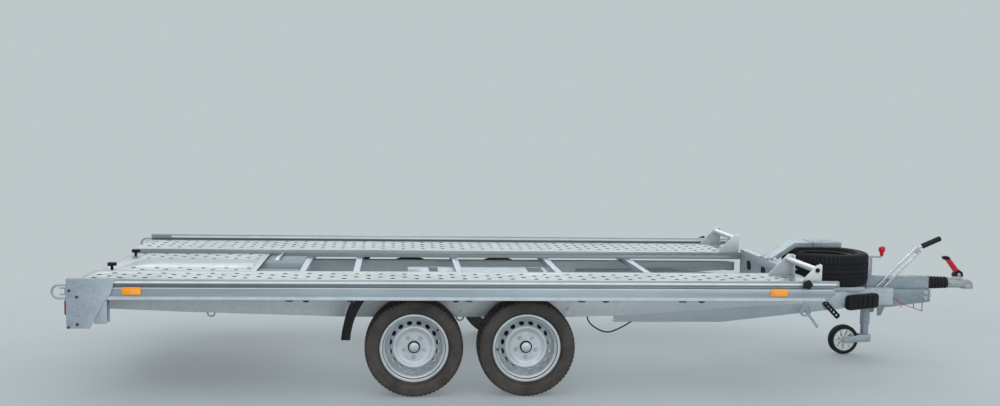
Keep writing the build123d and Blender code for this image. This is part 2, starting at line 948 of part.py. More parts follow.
# Swing arms: from the axle tube's end back to the stub on which the wheel turns
with BuildPart() as swing_arms:
    for shift, place_name in wheel_places:
        wheel_x = axle_x + shift
        tube_x = wheel_x + arm_reach
        with BuildSketch(Plane.XZ.offset(arm_inner_y)):
            with Locations((tube_x, tube_z)):
                Circle(swing_root_radius)
            with Locations((wheel_x, tyre_radius)):
                Circle(swing_end_radius)
            make_hull()
        extrude(amount=arm_thickness)
        for radius, near_y, far_y in (
            (swing_boss_radius, arm_face_y, plate_face_y - plate_wall),
            (drum_radius - backplate_margin, plate_face_y - plate_wall, plate_face_y),
            (stub_radius, plate_face_y, wheel_y + disc_offset),
        ):
            with BuildSketch(Plane.XZ.offset(near_y)):
                with Locations((wheel_x, tyre_radius)):
                    Circle(radius)
            extrude(amount=far_y - near_y)
    mirror(about=Plane.XZ)
save(swing_arms, "swing_arms")

# Mudguards: arcs behind the rear wheels, hung from the second cross bar
guard_inner_y = wheel_y - tyre_width / 2 - guard_inner_gap
guard_outer_y = wheel_y + tyre_width / 2 + guard_outer_gap
with BuildPart() as mudguards:
    guard_x = axle_x - axle_spacing / 2
    for near_y, far_y, depth in (
        (guard_inner_y, guard_outer_y, guard_sheet),
        (guard_outer_y - guard_sheet, guard_outer_y, guard_lip),
    ):
        with BuildSketch(Plane.XZ.offset(near_y)):
            with Locations((guard_x + guard_ahead, tyre_radius + guard_rise)):
                Circle(guard_radius)
                Circle(guard_radius - depth, mode=Mode.SUBTRACT)
            with Locations((guard_x - guard_front_gap, tyre_radius + guard_low_rise)):
                Rectangle(
                    guard_radius,
                    member_top_z - tyre_radius - guard_low_rise,
                    align=(Align.MAX, Align.MIN),
                    mode=Mode.INTERSECT,
                )
        extrude(amount=far_y - near_y)
    mirror(about=Plane.XZ)
save(mudguards, "mudguards")

# Spare wheel, flat on a plate across the drawbar's arms
spare_x = front_x + spare_place
spare_centre_z = spare_plate_z + seat_gap + tyre_width / 2
with BuildPart() as spare_bracket:
    with BuildSketch(Plane.YZ.offset(spare_x - spare_plate_length / 2)):
        with BuildLine():
            Polyline(
                *folded(
                    [
                        (-spare_plate_half_width, arm_top_z),
                        (-spare_plate_half_width, spare_plate_z),
                        (spare_plate_half_width, spare_plate_z),
                        (spare_plate_half_width, arm_top_z),
                    ],
                    -spare_plate_sheet,
                ),
                close=True,
            )
        make_face()
    extrude(amount=spare_plate_length)
    with BuildSketch(Plane.XY.offset(spare_plate_z)):
        with Locations((spare_x, 0)):
            Circle(spare_post_radius)
    extrude(amount=spare_centre_z + disc_offset - spare_plate_z)
save(spare_bracket, "spare_bracket")
spare_centre = (spare_x, 0, spare_centre_z)
spare_plane = Plane(spare_centre, x_dir=(1, 0, 0), z_dir=(0, -1, 0))
spare_axis = Axis(spare_centre, (0, 0, 1))
save(make_tyre(spare_plane, spare_axis), "spare_tyre")
save(make_rim(spare_plane, spare_axis), "spare_rim")

# Winch stand: a channel that rises from the front beam and reaches over the spare wheel
stand_foot_x = front_x - beam_place
stand_bend_x = front_x + stand_bend_reach
stand_end_x = front_x + stand_reach
with BuildPart() as winch_stand:
    slope_start_x = stand_foot_x + stand_foot_length
    slope = (stand_top_z - front_beam_top_z) / (stand_bend_x - slope_start_x)
    flange_start_x = stand_foot_x + front_beam_flange + stand_flange_gap
    stand_line = [
        (stand_foot_x, front_beam_top_z),
        (slope_start_x, front_beam_top_z),
        (stand_bend_x, stand_top_z),
        (stand_end_x, stand_top_z),
    ]
    flange_line = [
        (flange_start_x, front_beam_top_z + slope * (flange_start_x - slope_start_x)),
        *stand_line[2:],
    ]
    with BuildSketch(Plane.XZ):
        with BuildLine():
            Polyline(*folded(stand_line, stand_sheet), close=True)
        make_face()
    extrude(amount=stand_half_width, both=True)
    with BuildSketch(Plane.XZ.offset(stand_half_width - stand_sheet)):
        with BuildLine():
            Polyline(*folded(flange_line, -stand_flange), close=True)
        make_face()
    extrude(amount=stand_sheet)
    with BuildSketch(Plane.XZ.offset(-stand_half_width)):
        with BuildLine():
            Polyline(*folded(flange_line, -stand_flange), close=True)
        make_face()
    extrude(amount=stand_sheet)
    with BuildSketch(Plane.YZ.offset(stand_end_x)):
        with BuildLine():
            plate_top_z = stand_top_z + 2 * stand_sheet
            Polyline(
                *folded(
                    [
                        (-winch_plate_half_width, plate_top_z - winch_plate_depth),
                        (-winch_plate_half_width, plate_top_z),
                        (winch_plate_half_width, plate_top_z),
                        (winch_plate_half_width, plate_top_z - winch_plate_depth),
                    ],
                    -stand_sheet,
                ),
                close=True,
            )
        make_face()
    extrude(amount=-winch_plate_length)
    with Locations((stand_end_x - winch_hole_setback, 0, plate_top_z)):
        with GridLocations(winch_hole_pitch, winch_hole_pitch, 2, 2):
            Hole(winch_hole_radius, depth=3 * stand_sheet)
save(winch_stand, "winch_stand")

# Wheel stops: a pair of flanged ears and a tube across the front of each track
with BuildPart() as wheel_stops:
    stop_x = ear_front_x - stop_tube_setback
    stop_z = stop_seat_z + stop_tube_rise
    for y, flange in ((ear_inner_y, ear_inner_flange), (ear_outer_y, -ear_outer_flange)):
        with BuildSketch(Plane.XZ.offset(y - ear_sheet / 2)):
            with BuildLine():
                Polyline(
                    (ear_back_x, stop_seat_z),
                    (ear_front_x, stop_seat_z),
                    (ear_front_x, stop_seat_z + stop_rise),
                    (ear_front_x - ear_top_length, stop_seat_z + stop_rise),
                    close=True,
                )
            make_face()
        extrude(amount=ear_sheet)
        with BuildSketch(Plane.YZ.offset(ear_front_x)):
            with Locations((-y - flange / 2, stop_seat_z + stop_rise / 2)):
                Rectangle(abs(flange), stop_rise)
        extrude(amount=-ear_sheet)
    with BuildSketch(Plane.XZ.offset(ear_inner_y)):
        with Locations((stop_x, stop_z)):
            Circle(stop_tube_radius)
            Circle(stop_tube_radius - stop_tube_wall, mode=Mode.SUBTRACT)
    extrude(amount=ear_outer_y - ear_inner_y)
    mirror(about=Plane.XZ)
save(wheel_stops, "wheel_stops")

# Overrun housing: two cheeks, a box for the draw tube above them, and the lever's pin across
house_back_x = front_x + housing_start
house_front_x = front_x + housing_end
tube_bore = draw_tube_radius + seat_gap
with BuildPart() as overrun_housing:
    with BuildSketch(Plane.XZ.offset(-housing_half_width)):
        with BuildLine():
            Polyline(
                (house_back_x, housing_bottom_z),
                (front_x + arm_end, housing_bottom_z),
                (house_front_x, housing_bottom_z + housing_nose_rise),
                (house_front_x, housing_plate_top_z),
                (house_back_x, housing_plate_top_z),
                close=True,
            )
        make_face()
    extrude(amount=2 * housing_half_width)
    with BuildSketch(Plane.XY.offset(housing_bottom_z)):
        with Locations(((house_back_x + house_front_x) / 2, 0)):
            Rectangle(
                house_front_x - house_back_x - 2 * housing_wall,
                2 * (housing_half_width - housing_wall),
            )
    extrude(amount=housing_plate_top_z - housing_bottom_z, mode=Mode.SUBTRACT)
    with BuildSketch(Plane.YZ.offset(house_back_x)):
        with Locations((0, housing_plate_top_z - housing_wall)):
            Rectangle(
                2 * box_half_width,
                housing_top_z - housing_plate_top_z + housing_wall,
                align=(Align.CENTER, Align.MIN),
            )
    extrude(amount=house_front_x - house_back_x)
    with BuildSketch(Plane.YZ.offset(house_back_x + housing_wall)):
        with Locations((0, draw_axis_z)):
            Circle(tube_bore)
    extrude(amount=house_front_x - house_back_x, mode=Mode.SUBTRACT)
    pivot_x = front_x + lever_pivot_place
    with BuildSketch(Plane.XZ):
        with Locations((pivot_x, lever_pivot_z)):
            Circle(lever_pin_radius)
    extrude(amount=housing_half_width, both=True)
    tab_x = front_x + cheek_tab_start
    for cheek_y in (-housing_half_width, housing_half_width - housing_wall):
        with BuildSketch(Plane.XZ.offset(-cheek_y)):
            with BuildLine():
                Polyline(
                    (tab_x, housing_bottom_z),
                    (tab_x + cheek_tab_tip[0], housing_bottom_z - cheek_tab_depth),
                    (tab_x + cheek_tab_tip[1], housing_bottom_z - cheek_tab_depth),
                    (tab_x + cheek_tab_length, housing_bottom_z),
                    close=True,
                )
            make_face()
        extrude(amount=-housing_wall)
        for pin_place, pin_low_z in cheek_pins:
            with BuildSketch(Plane.XY.offset(pin_low_z)):
                with Locations((front_x + pin_place, cheek_y + housing_wall / 2)):
                    Circle(cheek_pin_radius)
            extrude(amount=housing_bottom_z + housing_nose_rise - pin_low_z)
save(overrun_housing, "overrun_housing")

ball_x = nose_x - dome_radius
with BuildPart() as draw_tube:
    with BuildSketch(Plane.YZ.offset(house_back_x + housing_wall)):
        with Locations((0, draw_axis_z)):
            Circle(draw_tube_radius)
            Circle(draw_tube_radius - draw_tube_wall, mode=Mode.SUBTRACT)
    extrude(amount=ball_x - dome_radius - house_back_x - housing_wall)
save(draw_tube, "draw_tube")

# Bellows: a rubber sleeve with folds over the draw tube
with BuildPart() as bellows:
    bellows_bore = draw_tube_radius + seat_gap
    pitch = bellows_length / bellows_folds
    with BuildSketch(Plane.XZ):
        with BuildLine():
            crest_line = []
            for fold in range(bellows_folds):
                crest_line.append((house_front_x + fold * pitch, draw_axis_z + bellows_root))
                crest_line.append((house_front_x + (fold + fold_crest[0]) * pitch, draw_axis_z + bellows_radius))
                crest_line.append((house_front_x + (fold + fold_crest[1]) * pitch, draw_axis_z + bellows_radius))
            crest_line.append((house_front_x + bellows_length, draw_axis_z + bellows_root))
            crest_line.append((house_front_x + bellows_length, draw_axis_z + bellows_bore))
            crest_line.append((house_front_x, draw_axis_z + bellows_bore))
            Polyline(*crest_line, close=True)
        make_face()
    revolve(axis=Axis((0, 0, draw_axis_z), (1, 0, 0)))
save(bellows, "bellows")

# Coupling head: a sleeve on the draw tube that tapers to a dome over the ball
ball_z = draw_axis_z - ball_drop
socket_mouth_z = ball_z - ball_depth / 2
head_back_x = house_front_x + bellows_length
lug_top_z = ball_z + lug_top_rise
with BuildPart() as coupling_head:
    sleeve_end_x = ball_x - dome_radius
    with BuildSketch(Plane.YZ.offset(head_back_x)):
        with Locations((0, draw_axis_z)):
            Circle(head_sleeve_radius)
    with BuildSketch(Plane.YZ.offset(ball_x)):
        with Locations((0, (socket_mouth_z + ball_z + dome_radius) / 2)):
            RectangleRounded(
                2 * (dome_radius - head_side_margin),
                ball_z + dome_radius - socket_mouth_z - 2 * head_roof_margin,
                head_corner,
            )
    loft()
    with BuildSketch(Plane.XZ):
        with BuildLine():
            Line((ball_x, socket_mouth_z), (ball_x + dome_radius, socket_mouth_z))
            Line((ball_x + dome_radius, socket_mouth_z), (ball_x + dome_radius, ball_z))
            ThreePointArc(
                (ball_x + dome_radius, ball_z),
                (ball_x + dome_radius * cos(radians(45)), ball_z + dome_radius * sin(radians(45))),
                (ball_x, ball_z + dome_radius),
            )
            Line((ball_x, ball_z + dome_radius), (ball_x, socket_mouth_z))
        make_face()
    revolve(axis=Axis((ball_x, 0, 0), (0, 0, 1)))
    with Locations((ball_x - lug_start, 0, draw_axis_z)):
        Box(
            lug_length,
            2 * lug_half_width,
            lug_top_z - draw_axis_z,
            align=(Align.MIN, Align.CENTER, Align.MIN),
        )
    with BuildSketch(Plane.XY.offset(socket_mouth_z)):
        with Locations((ball_x, 0)):
            Circle(ball_radius)
    extrude(amount=ball_depth, mode=Mode.SUBTRACT)
    with BuildSketch(Plane.YZ.offset(head_back_x)):
        with Locations((0, draw_axis_z)):
            Circle(tube_bore)
    extrude(amount=sleeve_end_x - head_back_x, mode=Mode.SUBTRACT)
save(coupling_head, "coupling_head")

# Coupling handle: a bent lever on top of the head's lug
with BuildPart() as coupling_handle:
    with BuildSketch(Plane.XZ):
        with BuildLine():
            Polyline(*((ball_x - back, lug_top_z + rise) for back, rise in handle_outline), close=True)
        make_face()
    extrude(amount=handle_half_width, both=True)
save(coupling_handle, "coupling_handle")

# Handbrake lever: twin bars on an eye, with a cranked neck for the grip
lever_turn = radians(lever_angle)
grip_turn = radians(lever_angle - grip_droop)
lever_top_x = pivot_x + lever_length * cos(lever_turn)
lever_top_z = lever_pivot_z + lever_length * sin(lever_turn)
lever_plane = Plane(
    (pivot_x, lever_y + lever_thickness / 2, lever_pivot_z),
    x_dir=(cos(lever_turn), 0, sin(lever_turn)),
    z_dir=(0, -1, 0),
)
with BuildPart() as handbrake_lever:
    with BuildSketch(lever_plane):
        Circle(lever_eye_radius)
        with Locations((lever_length / 2, 0)):
            Rectangle(lever_length, lever_pitch + lever_bar)
        with Locations((lever_length / 2 + lever_slot_shift, 0)):
            SlotOverall(lever_length - lever_slot_margin, lever_pitch - lever_bar, mode=Mode.SUBTRACT)
        Circle(lever_pin_radius + running_gap, mode=Mode.SUBTRACT)
    extrude(amount=lever_thickness)
    with BuildSketch(Plane.XZ.offset(-lever_y - lever_thickness / 2)):
        with BuildLine():
            Polyline(
                *folded(
                    [
                        (
                            lever_top_x - neck_overlap * cos(lever_turn),
                            lever_top_z - neck_overlap * sin(lever_turn),
                        ),
                        (lever_top_x, lever_top_z),
                        (
                            lever_top_x + neck_length * cos(grip_turn),
                            lever_top_z + neck_length * sin(grip_turn),
                        ),
                    ],
                    lever_bar,
                ),
                close=True,
            )
        make_face()
    extrude(amount=lever_thickness)
save(handbrake_lever, "handbrake_lever")

grip_start = (
    lever_top_x + neck_length * cos(grip_turn) - lever_bar / 2 * sin(grip_turn),
    lever_y,
    lever_top_z + neck_length * sin(grip_turn) + lever_bar / 2 * cos(grip_turn),
)
with BuildPart() as handbrake_grip:
    with BuildSketch(Plane(grip_start, x_dir=(0, 1, 0), z_dir=(cos(grip_turn), 0, sin(grip_turn)))):
        Circle(grip_radius)
    extrude(amount=grip_length)
    fillet(handbrake_grip.edges().filter_by(GeomType.CIRCLE), grip_corner)
save(handbrake_grip, "handbrake_grip")

# Brake rod: from the overrun housing back to the front axle
brake_rod_z = tube_top_z - brake_rod_drop
rod_back_x = axle_x + axle_spacing / 2 + arm_reach + axle_tube / 2
with BuildPart() as brake_rod:
    with BuildSketch(Plane.YZ.offset(rod_back_x)):
        with Locations((0, brake_rod_z)):
            Circle(brake_rod_radius)
    extrude(amount=house_back_x - rod_back_x)
save(brake_rod, "brake_rod")

# Breakaway cable: held along the housing's right cheek, down to the front pin
breakaway_y = -housing_half_width - breakaway_radius
with BuildPart() as breakaway_cable:
    breakaway_line = [
        (house_back_x + reach, housing_plate_top_z - drop) for reach, drop in breakaway_points
    ]
    with BuildLine(Plane.XZ.offset(-breakaway_y)) as cable_path:
        FilletPolyline(*breakaway_line, radius=breakaway_bend)
    with BuildSketch(Plane(cable_path.line @ 0, z_dir=cable_path.line % 0)):
        Circle(breakaway_radius)
    sweep(path=cable_path.line)
save(breakaway_cable, "breakaway_cable")

# Jockey wheel: a sleeve in a clamp on the left arm, a leg that winds down, a fork and a wheel
jockey_x = front_x + jockey_place
sleeve_bore = leg_radius + running_gap
clamp_bottom_z = arm_bottom_z + clamp_lift
leg_bottom_z = jockey_wheel_radius + leg_foot_rise
leg_top_z = sleeve_top_z - sleeve_cap - leg_top_gap - jockey_lift
fork_half = jockey_wheel_width / 2 + fork_gap + fork_plate
wheel_centre = (jockey_x - jockey_trail, jockey_y, jockey_wheel_radius)
with BuildPart() as jockey_clamp:
    with BuildSketch(Plane.XY.offset(clamp_bottom_z)):
        with Locations((jockey_x, jockey_y)):
            Circle(sleeve_radius + clamp_wall)
        with Locations((jockey_x, arm_nose_y)):
            Rectangle(clamp_width, sleeve_radius + jockey_clamp_gap, align=(Align.CENTER, Align.MIN))
        with Locations((jockey_x, jockey_y)):
            Circle(sleeve_radius + seat_gap, mode=Mode.SUBTRACT)
    extrude(amount=clamp_height)
save(jockey_clamp, "jockey_clamp")

with BuildPart() as jockey_sleeve:
    with BuildSketch(Plane.XY.offset(sleeve_bottom_z)):
        with Locations((jockey_x, jockey_y)):
            Circle(sleeve_radius)
    extrude(amount=sleeve_top_z - sleeve_bottom_z)
    with BuildSketch(Plane.XY.offset(sleeve_bottom_z)):
        with Locations((jockey_x, jockey_y)):
            Circle(sleeve_bore)
    extrude(amount=sleeve_top_z - sleeve_cap - sleeve_bottom_z, mode=Mode.SUBTRACT)
save(jockey_sleeve, "jockey_sleeve")

# Jockey crank: a thin arm on top of the sleeve with an upright knob
crank_top_z = sleeve_top_z + crank_hub_height + crank_rod
with BuildPart() as jockey_crank:
    with BuildSketch(Plane.XY.offset(sleeve_top_z)):
        with Locations((jockey_x, jockey_y)):
            Circle(crank_hub_radius)
    extrude(amount=crank_hub_height)
    with BuildSketch(Plane.XY.offset(sleeve_top_z + crank_hub_height)):
        with Locations((jockey_x + crank_reach / 2, jockey_y)):
            SlotCenterToCenter(crank_reach, crank_rod)
    extrude(amount=crank_rod)
    with BuildSketch(Plane((jockey_x + crank_reach, jockey_y, crank_top_z), x_dir=(1, 0, 0), z_dir=(0, -1, 0))):
        with BuildLine():
            Polyline((0, 0), *crank_knob, (0, crank_knob[-1][1]), close=True)
        make_face()
    revolve(axis=Axis((jockey_x + crank_reach, jockey_y, crank_top_z), (0, 0, 1)))
save(jockey_crank, "jockey_crank")

# Leg, fork, tyre and rim of the jockey wheel
with BuildPart() as jockey_leg:
    with BuildSketch(Plane.XY.offset(leg_bottom_z)):
        with Locations((jockey_x, jockey_y)):
            Circle(leg_radius)
            Circle(leg_radius - leg_wall, mode=Mode.SUBTRACT)
    extrude(amount=leg_top_z - leg_bottom_z)
save(jockey_leg, "jockey_leg")

with BuildPart() as jockey_fork:
    with BuildSketch(Plane.XY.offset(leg_bottom_z - fork_crown_height)):
        with Locations((jockey_x, jockey_y)):
            Circle(sleeve_radius)
        with Locations((jockey_x, jockey_y)):
            Rectangle(fork_crown_length, 2 * fork_half)
    extrude(amount=fork_crown_height)
    with BuildSketch(Plane.XZ.offset(-jockey_y)):
        with Locations((jockey_x, leg_bottom_z - fork_crown_height / 2)):
            Rectangle(fork_crown_length, fork_crown_height)
        with Locations((wheel_centre[0], wheel_centre[2])):
            Circle(fork_ear_radius)
        make_hull()
    extrude(amount=fork_half, both=True)
    with BuildSketch(Plane.XZ.offset(-jockey_y)):
        with Locations((jockey_x - fork_crown_length / 2, leg_bottom_z + seat_gap)):
            Rectangle(2 * jockey_trail, leg_bottom_z, align=(Align.MAX, Align.MAX))
    extrude(amount=fork_half - fork_plate, both=True, mode=Mode.SUBTRACT)
    with BuildSketch(Plane.XZ.offset(-jockey_y)):
        with Locations((wheel_centre[0], wheel_centre[2])):
            Circle(jockey_pin_radius)
    extrude(amount=fork_half + jockey_pin_end, both=True)
save(jockey_fork, "jockey_fork")

with BuildPart() as jockey_tyre:
    with BuildSketch(Plane.XZ.offset(-jockey_y)):
        with Locations((wheel_centre[0], wheel_centre[2])):
            Circle(jockey_wheel_radius)
            Circle(jockey_rim_radius + seat_gap, mode=Mode.SUBTRACT)
    extrude(amount=jockey_wheel_width / 2, both=True)
    fillet(jockey_tyre.edges().filter_by(GeomType.CIRCLE).group_by(SortBy.RADIUS)[-1], jockey_tyre_corner)
save(jockey_tyre, "jockey_tyre")

spoke_middle = (jockey_hub_radius + jockey_rim_radius - jockey_rim_wall) / 2
spoke_length = jockey_rim_radius - jockey_hub_radius
with BuildPart() as jockey_rim:
    with BuildSketch(Plane.XZ.offset(-jockey_y)):
        with Locations((wheel_centre[0], wheel_centre[2])):
            Circle(jockey_rim_radius)
            Circle(jockey_rim_radius - jockey_rim_wall, mode=Mode.SUBTRACT)
    extrude(amount=jockey_wheel_width / 2 - jockey_rim_setback, both=True)
    with BuildSketch(Plane.XZ.offset(-jockey_y)):
        with Locations((wheel_centre[0], wheel_centre[2])):
            Circle(jockey_hub_radius)
            with PolarLocations(spoke_middle, jockey_spoke_count):
                Rectangle(spoke_length, jockey_spoke_width)
            Circle(jockey_pin_radius + running_gap, mode=Mode.SUBTRACT)
    extrude(amount=jockey_wheel_width / 2 - jockey_spoke_setback, both=True)
save(jockey_rim, "jockey_rim")

# Side markers on the rails, at both ends of the deck
marker_z = rail_bottom_z + marker_rise
with BuildPart() as side_markers:
    with BuildSketch(Plane.XZ.offset(rail_outer_y - rail_band_step)):
        for place in marker_places:
            with Locations((rear_x + place, marker_z)):
                RectangleRounded(marker_length, marker_height, marker_corner)
    extrude(amount=marker_thickness)
    mirror(about=Plane.XZ)
save(side_markers, "side_markers")

# Lock knobs: lobed hand wheels for the stops on the rails, and for the ramps at the rear
with BuildPart() as lock_knobs:
    knob_z = lip_top_z - lip_height / 2
    knob_core = knob_radius - knob_lobe_radius / 2
    with BuildSketch(Plane.XZ.offset(rail_outer_y)):
        with Locations((front_x - rail_knob_place, knob_z)):
            Circle(knob_neck_radius)
    extrude(amount=rail_knob_neck)
    with BuildSketch(Plane.XZ.offset(rail_outer_y + rail_knob_neck)):
        with Locations((front_x - rail_knob_place, knob_z)):
            Circle(knob_core)
            with PolarLocations(knob_radius - knob_lobe_radius, knob_lobes):
                Circle(knob_lobe_radius)
    extrude(amount=knob_thickness)
    cover_top_z = track_top_z - cover_drop
    with BuildSketch(Plane.XY.offset(cover_top_z)):
        with Locations((rear_x + ramp_knob_place, -ramp_knob_y)):
            Circle(knob_neck_radius)
    extrude(amount=ramp_knob_neck)
    with BuildSketch(Plane.XY.offset(cover_top_z + ramp_knob_neck)):
        with Locations((rear_x + ramp_knob_place, -ramp_knob_y)):
            Circle(knob_core)
            with PolarLocations(knob_radius - knob_lobe_radius, knob_lobes):
                Circle(knob_lobe_radius)
    extrude(amount=knob_thickness)
    mirror(about=Plane.XZ)
save(lock_knobs, "lock_knobs")

# Wheel chock: a rounded block strapped to the outside of the right arm
arm_heading = atan2(arm_outer_y - arm_nose_y, arm_bend_setback + arm_meet)
chock_y = -arm_outer_y + (chock_place + arm_bend_setback) * tan(arm_heading)
chock_plane = Plane(
    (front_x + chock_place, chock_y, arm_bottom_z + arm_height / 2 - chock_drop),
    x_dir=(cos(arm_heading), sin(arm_heading), 0),
    z_dir=(sin(arm_heading), -cos(arm_heading), 0),
)
with BuildPart() as wheel_chock:
    with BuildSketch(chock_plane):
        RectangleRounded(chock_length, chock_height, chock_corner)
    extrude(amount=chock_thickness)
    fillet(wheel_chock.faces().sort_by(Axis.Y)[0].edges(), chock_edge)
save(wheel_chock, "wheel_chock")
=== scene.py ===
import json
from math import atan2, copysign, cos, pi, radians, sin, sqrt, tau

import bmesh
import bpy
from mathutils import Matrix, Vector


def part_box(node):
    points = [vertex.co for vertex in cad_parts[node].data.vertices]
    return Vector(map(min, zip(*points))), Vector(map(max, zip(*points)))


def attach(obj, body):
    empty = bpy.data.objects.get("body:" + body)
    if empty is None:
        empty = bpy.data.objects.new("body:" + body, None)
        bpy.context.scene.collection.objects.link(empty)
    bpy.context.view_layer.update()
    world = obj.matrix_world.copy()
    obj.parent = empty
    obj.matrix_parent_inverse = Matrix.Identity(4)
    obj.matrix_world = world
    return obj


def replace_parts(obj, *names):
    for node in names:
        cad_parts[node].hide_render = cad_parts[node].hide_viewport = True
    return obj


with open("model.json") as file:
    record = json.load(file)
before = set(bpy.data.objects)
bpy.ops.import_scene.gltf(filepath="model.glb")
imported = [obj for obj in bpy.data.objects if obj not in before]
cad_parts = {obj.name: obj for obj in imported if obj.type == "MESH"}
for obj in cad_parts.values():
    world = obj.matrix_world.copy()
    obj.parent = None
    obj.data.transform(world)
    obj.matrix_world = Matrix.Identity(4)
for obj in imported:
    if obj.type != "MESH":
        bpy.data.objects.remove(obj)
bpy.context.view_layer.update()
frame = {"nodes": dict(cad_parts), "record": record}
nodes = frame["nodes"]

# Places on the trailer, in metres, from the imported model
rear_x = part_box("side_rail_right")[0].x
rail_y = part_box("side_rail_left")[1].y
track_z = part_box("track_right")[1].z
track_inner_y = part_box("track_left")[0].y
track_outer_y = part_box("track_left")[1].y
SIDES = ((-1, "right"), (1, "left"))

# Camera: place, heading, pitch and roll of the photograph
CAMERA_PLACE = Vector((rear_x + 1.628, -6.665, 1.534))
CAMERA_YAW = radians(5.478)
CAMERA_PITCH = radians(4.85)
CAMERA_ROLL = radians(-1.065)
CAMERA_LENS = 39.935
CAMERA_SENSOR = 36


def show(thing):
    """Puts an object into the scene."""
    bpy.context.scene.collection.objects.link(thing)


def make_camera():
    """The photograph's camera."""
    ahead = cos(CAMERA_PITCH)
    forward = Vector((sin(CAMERA_YAW) * ahead, cos(CAMERA_YAW) * ahead, -sin(CAMERA_PITCH)))
    level = Vector((cos(CAMERA_YAW), -sin(CAMERA_YAW), 0))
    down = forward.cross(level)
    right = cos(CAMERA_ROLL) * level + sin(CAMERA_ROLL) * down
    down = cos(CAMERA_ROLL) * down - sin(CAMERA_ROLL) * level
    data = bpy.data.cameras.new("camera")
    data.lens = CAMERA_LENS
    data.sensor_width = CAMERA_SENSOR
    camera = bpy.data.objects.new("camera", data)
    turn = Matrix((right, -down, -forward)).transposed()
    camera.matrix_world = Matrix.Translation(CAMERA_PLACE) @ turn.to_4x4()
    show(camera)
    bpy.context.scene.camera = camera


def make_light(name, place, target, size, power, colour):
    """A large soft area light aimed at a point."""
    data = bpy.data.lights.new(name, "AREA")
    data.shape = "RECTANGLE"
    data.size, data.size_y = size
    data.energy = power
    data.color = colour
    light = bpy.data.objects.new(name, data)
    aim = (Vector(target) - Vector(place)).to_track_quat("-Z", "Y")
    light.matrix_world = Matrix.Translation(Vector(place)) @ aim.to_matrix().to_4x4()
    show(light)


# Materials

STAIN_COLOUR = (0.74, 0.78, 0.8)
IRON_COLOUR = (0.014, 0.014, 0.015)
RUST_COLOUR = (0.04, 0.028, 0.022)


def feed(tree, socket, value):
    """Links a socket to an output, or sets it to a number or a colour."""
    if hasattr(value, "links"):
        tree.links.new(value, socket)
    elif socket.type == "RGBA":
        socket.default_value = (*value, 1)
    else:
        socket.default_value = value


def add_node(tree, kind, **inputs):
    """A new shader node with its inputs fed."""
    node = tree.nodes.new("ShaderNode" + kind)
    for name, value in inputs.items():
        feed(tree, node.inputs[name.replace("_", " ")], value)
    return node


def combine(tree, operation, first, second):
    """One value worked out from two."""
    node = tree.nodes.new("ShaderNodeMath")
    node.operation = operation
    for socket, value in zip(node.inputs, (first, second)):
        feed(tree, socket, value)
    return node.outputs[0]


def choose_shader(tree, factor, first, second, output):
    """Puts out the first shader where factor is 0 and the second where it is 1."""
    node = tree.nodes.new("ShaderNodeMixShader")
    for socket, value in zip(node.inputs, (factor, first.outputs[0], second.outputs[0])):
        tree.links.new(value, socket)
    tree.links.new(node.outputs[0], tree.nodes[output].inputs["Surface"])


def shade(colour, share):
    return tuple(share * v for v in colour)


class Paint:
    """A procedural material, built up from noise layers on the object's own coordinates."""

    def __init__(self, name):
        self.material = bpy.data.materials.new(name)
        self.material.use_nodes = True
        self.tree = self.material.node_tree
        self.shader = self.tree.nodes["Principled BSDF"]
        self.place = self.add("TexCoord").outputs["Object"]

    def add(self, kind, **inputs):
        return add_node(self.tree, kind, **inputs)

    def stretched(self, scale):
        """The object's coordinates, scaled along each axis."""
        return self.add("Mapping", Scale=scale, Vector=self.place).outputs["Vector"]

    def noise(self, scale, detail=4, roughness=0.55, stretch=None):
        place = self.stretched(stretch) if stretch else self.place
        node = self.add("TexNoise", Scale=scale, Detail=detail, Roughness=roughness, Vector=place)
        return node.outputs["Fac"]

    def cells(self, scale, output):
        """One output of a pattern of irregular cells."""
        return self.add("TexVoronoi", Scale=scale, Vector=self.place).outputs[output]

    def grey(self, socket):
        return self.add("SeparateColor", Color=socket).outputs["Red"]

    def ramp(self, socket, low, high, start=0.3, end=0.7):
        """Goes from low to high as the socket's value goes from start to end."""
        node = self.add("MapRange", From_Min=start, From_Max=end, To_Min=low, To_Max=high, Value=socket)
        return node.outputs["Result"]

    def mix(self, factor, first, second):
        """Goes from the first colour to the second as factor goes from 0 to 1."""
        node = self.tree.nodes.new("ShaderNodeMix")
        node.data_type = "RGBA"
        node.clamp_factor = True
        for index, value in ((0, factor), (6, first), (7, second)):
            feed(self.tree, node.inputs[index], value)
        return node.outputs[2]

    def bump(self, socket, strength, distance):
        node = self.add("Bump", Strength=strength, Distance=distance, Height=socket)
        self.set(Normal=node.outputs["Normal"])

    def set(self, **values):
        for name, value in values.items():
            feed(self.tree, self.shader.inputs[name.replace("_", " ")], value)
        return self.material


def galvanised(name, light, dark, spangle):
    """Zinc with small flakes, wide clouds and pale stains drawn out along the trailer."""
    paint = Paint(name)
    flakes = paint.grey(paint.cells(spangle, "Color"))
    base = paint.mix(paint.ramp(flakes, 0, 1, 0.1, 0.9), dark, light)
    clouds = paint.noise(2.6, 6, 0.6)
    base = paint.mix(paint.ramp(clouds, 0, 0.3, 0.42, 0.72), base, shade(dark, 0.86))
    stain = paint.noise(12, 5, 0.65, (0.35, 1, 1))
    base = paint.mix(paint.ramp(stain, 0, 0.12, 0.52, 0.74), base, STAIN_COLOUR)
    paint.bump(paint.noise(240, 3), 0.22, 0.0006)
    return paint.set(
        Base_Color=base,
        Metallic=0.55,
        Roughness=paint.ramp(flakes, 0.38, 0.58, 0.0, 1.0),
    )


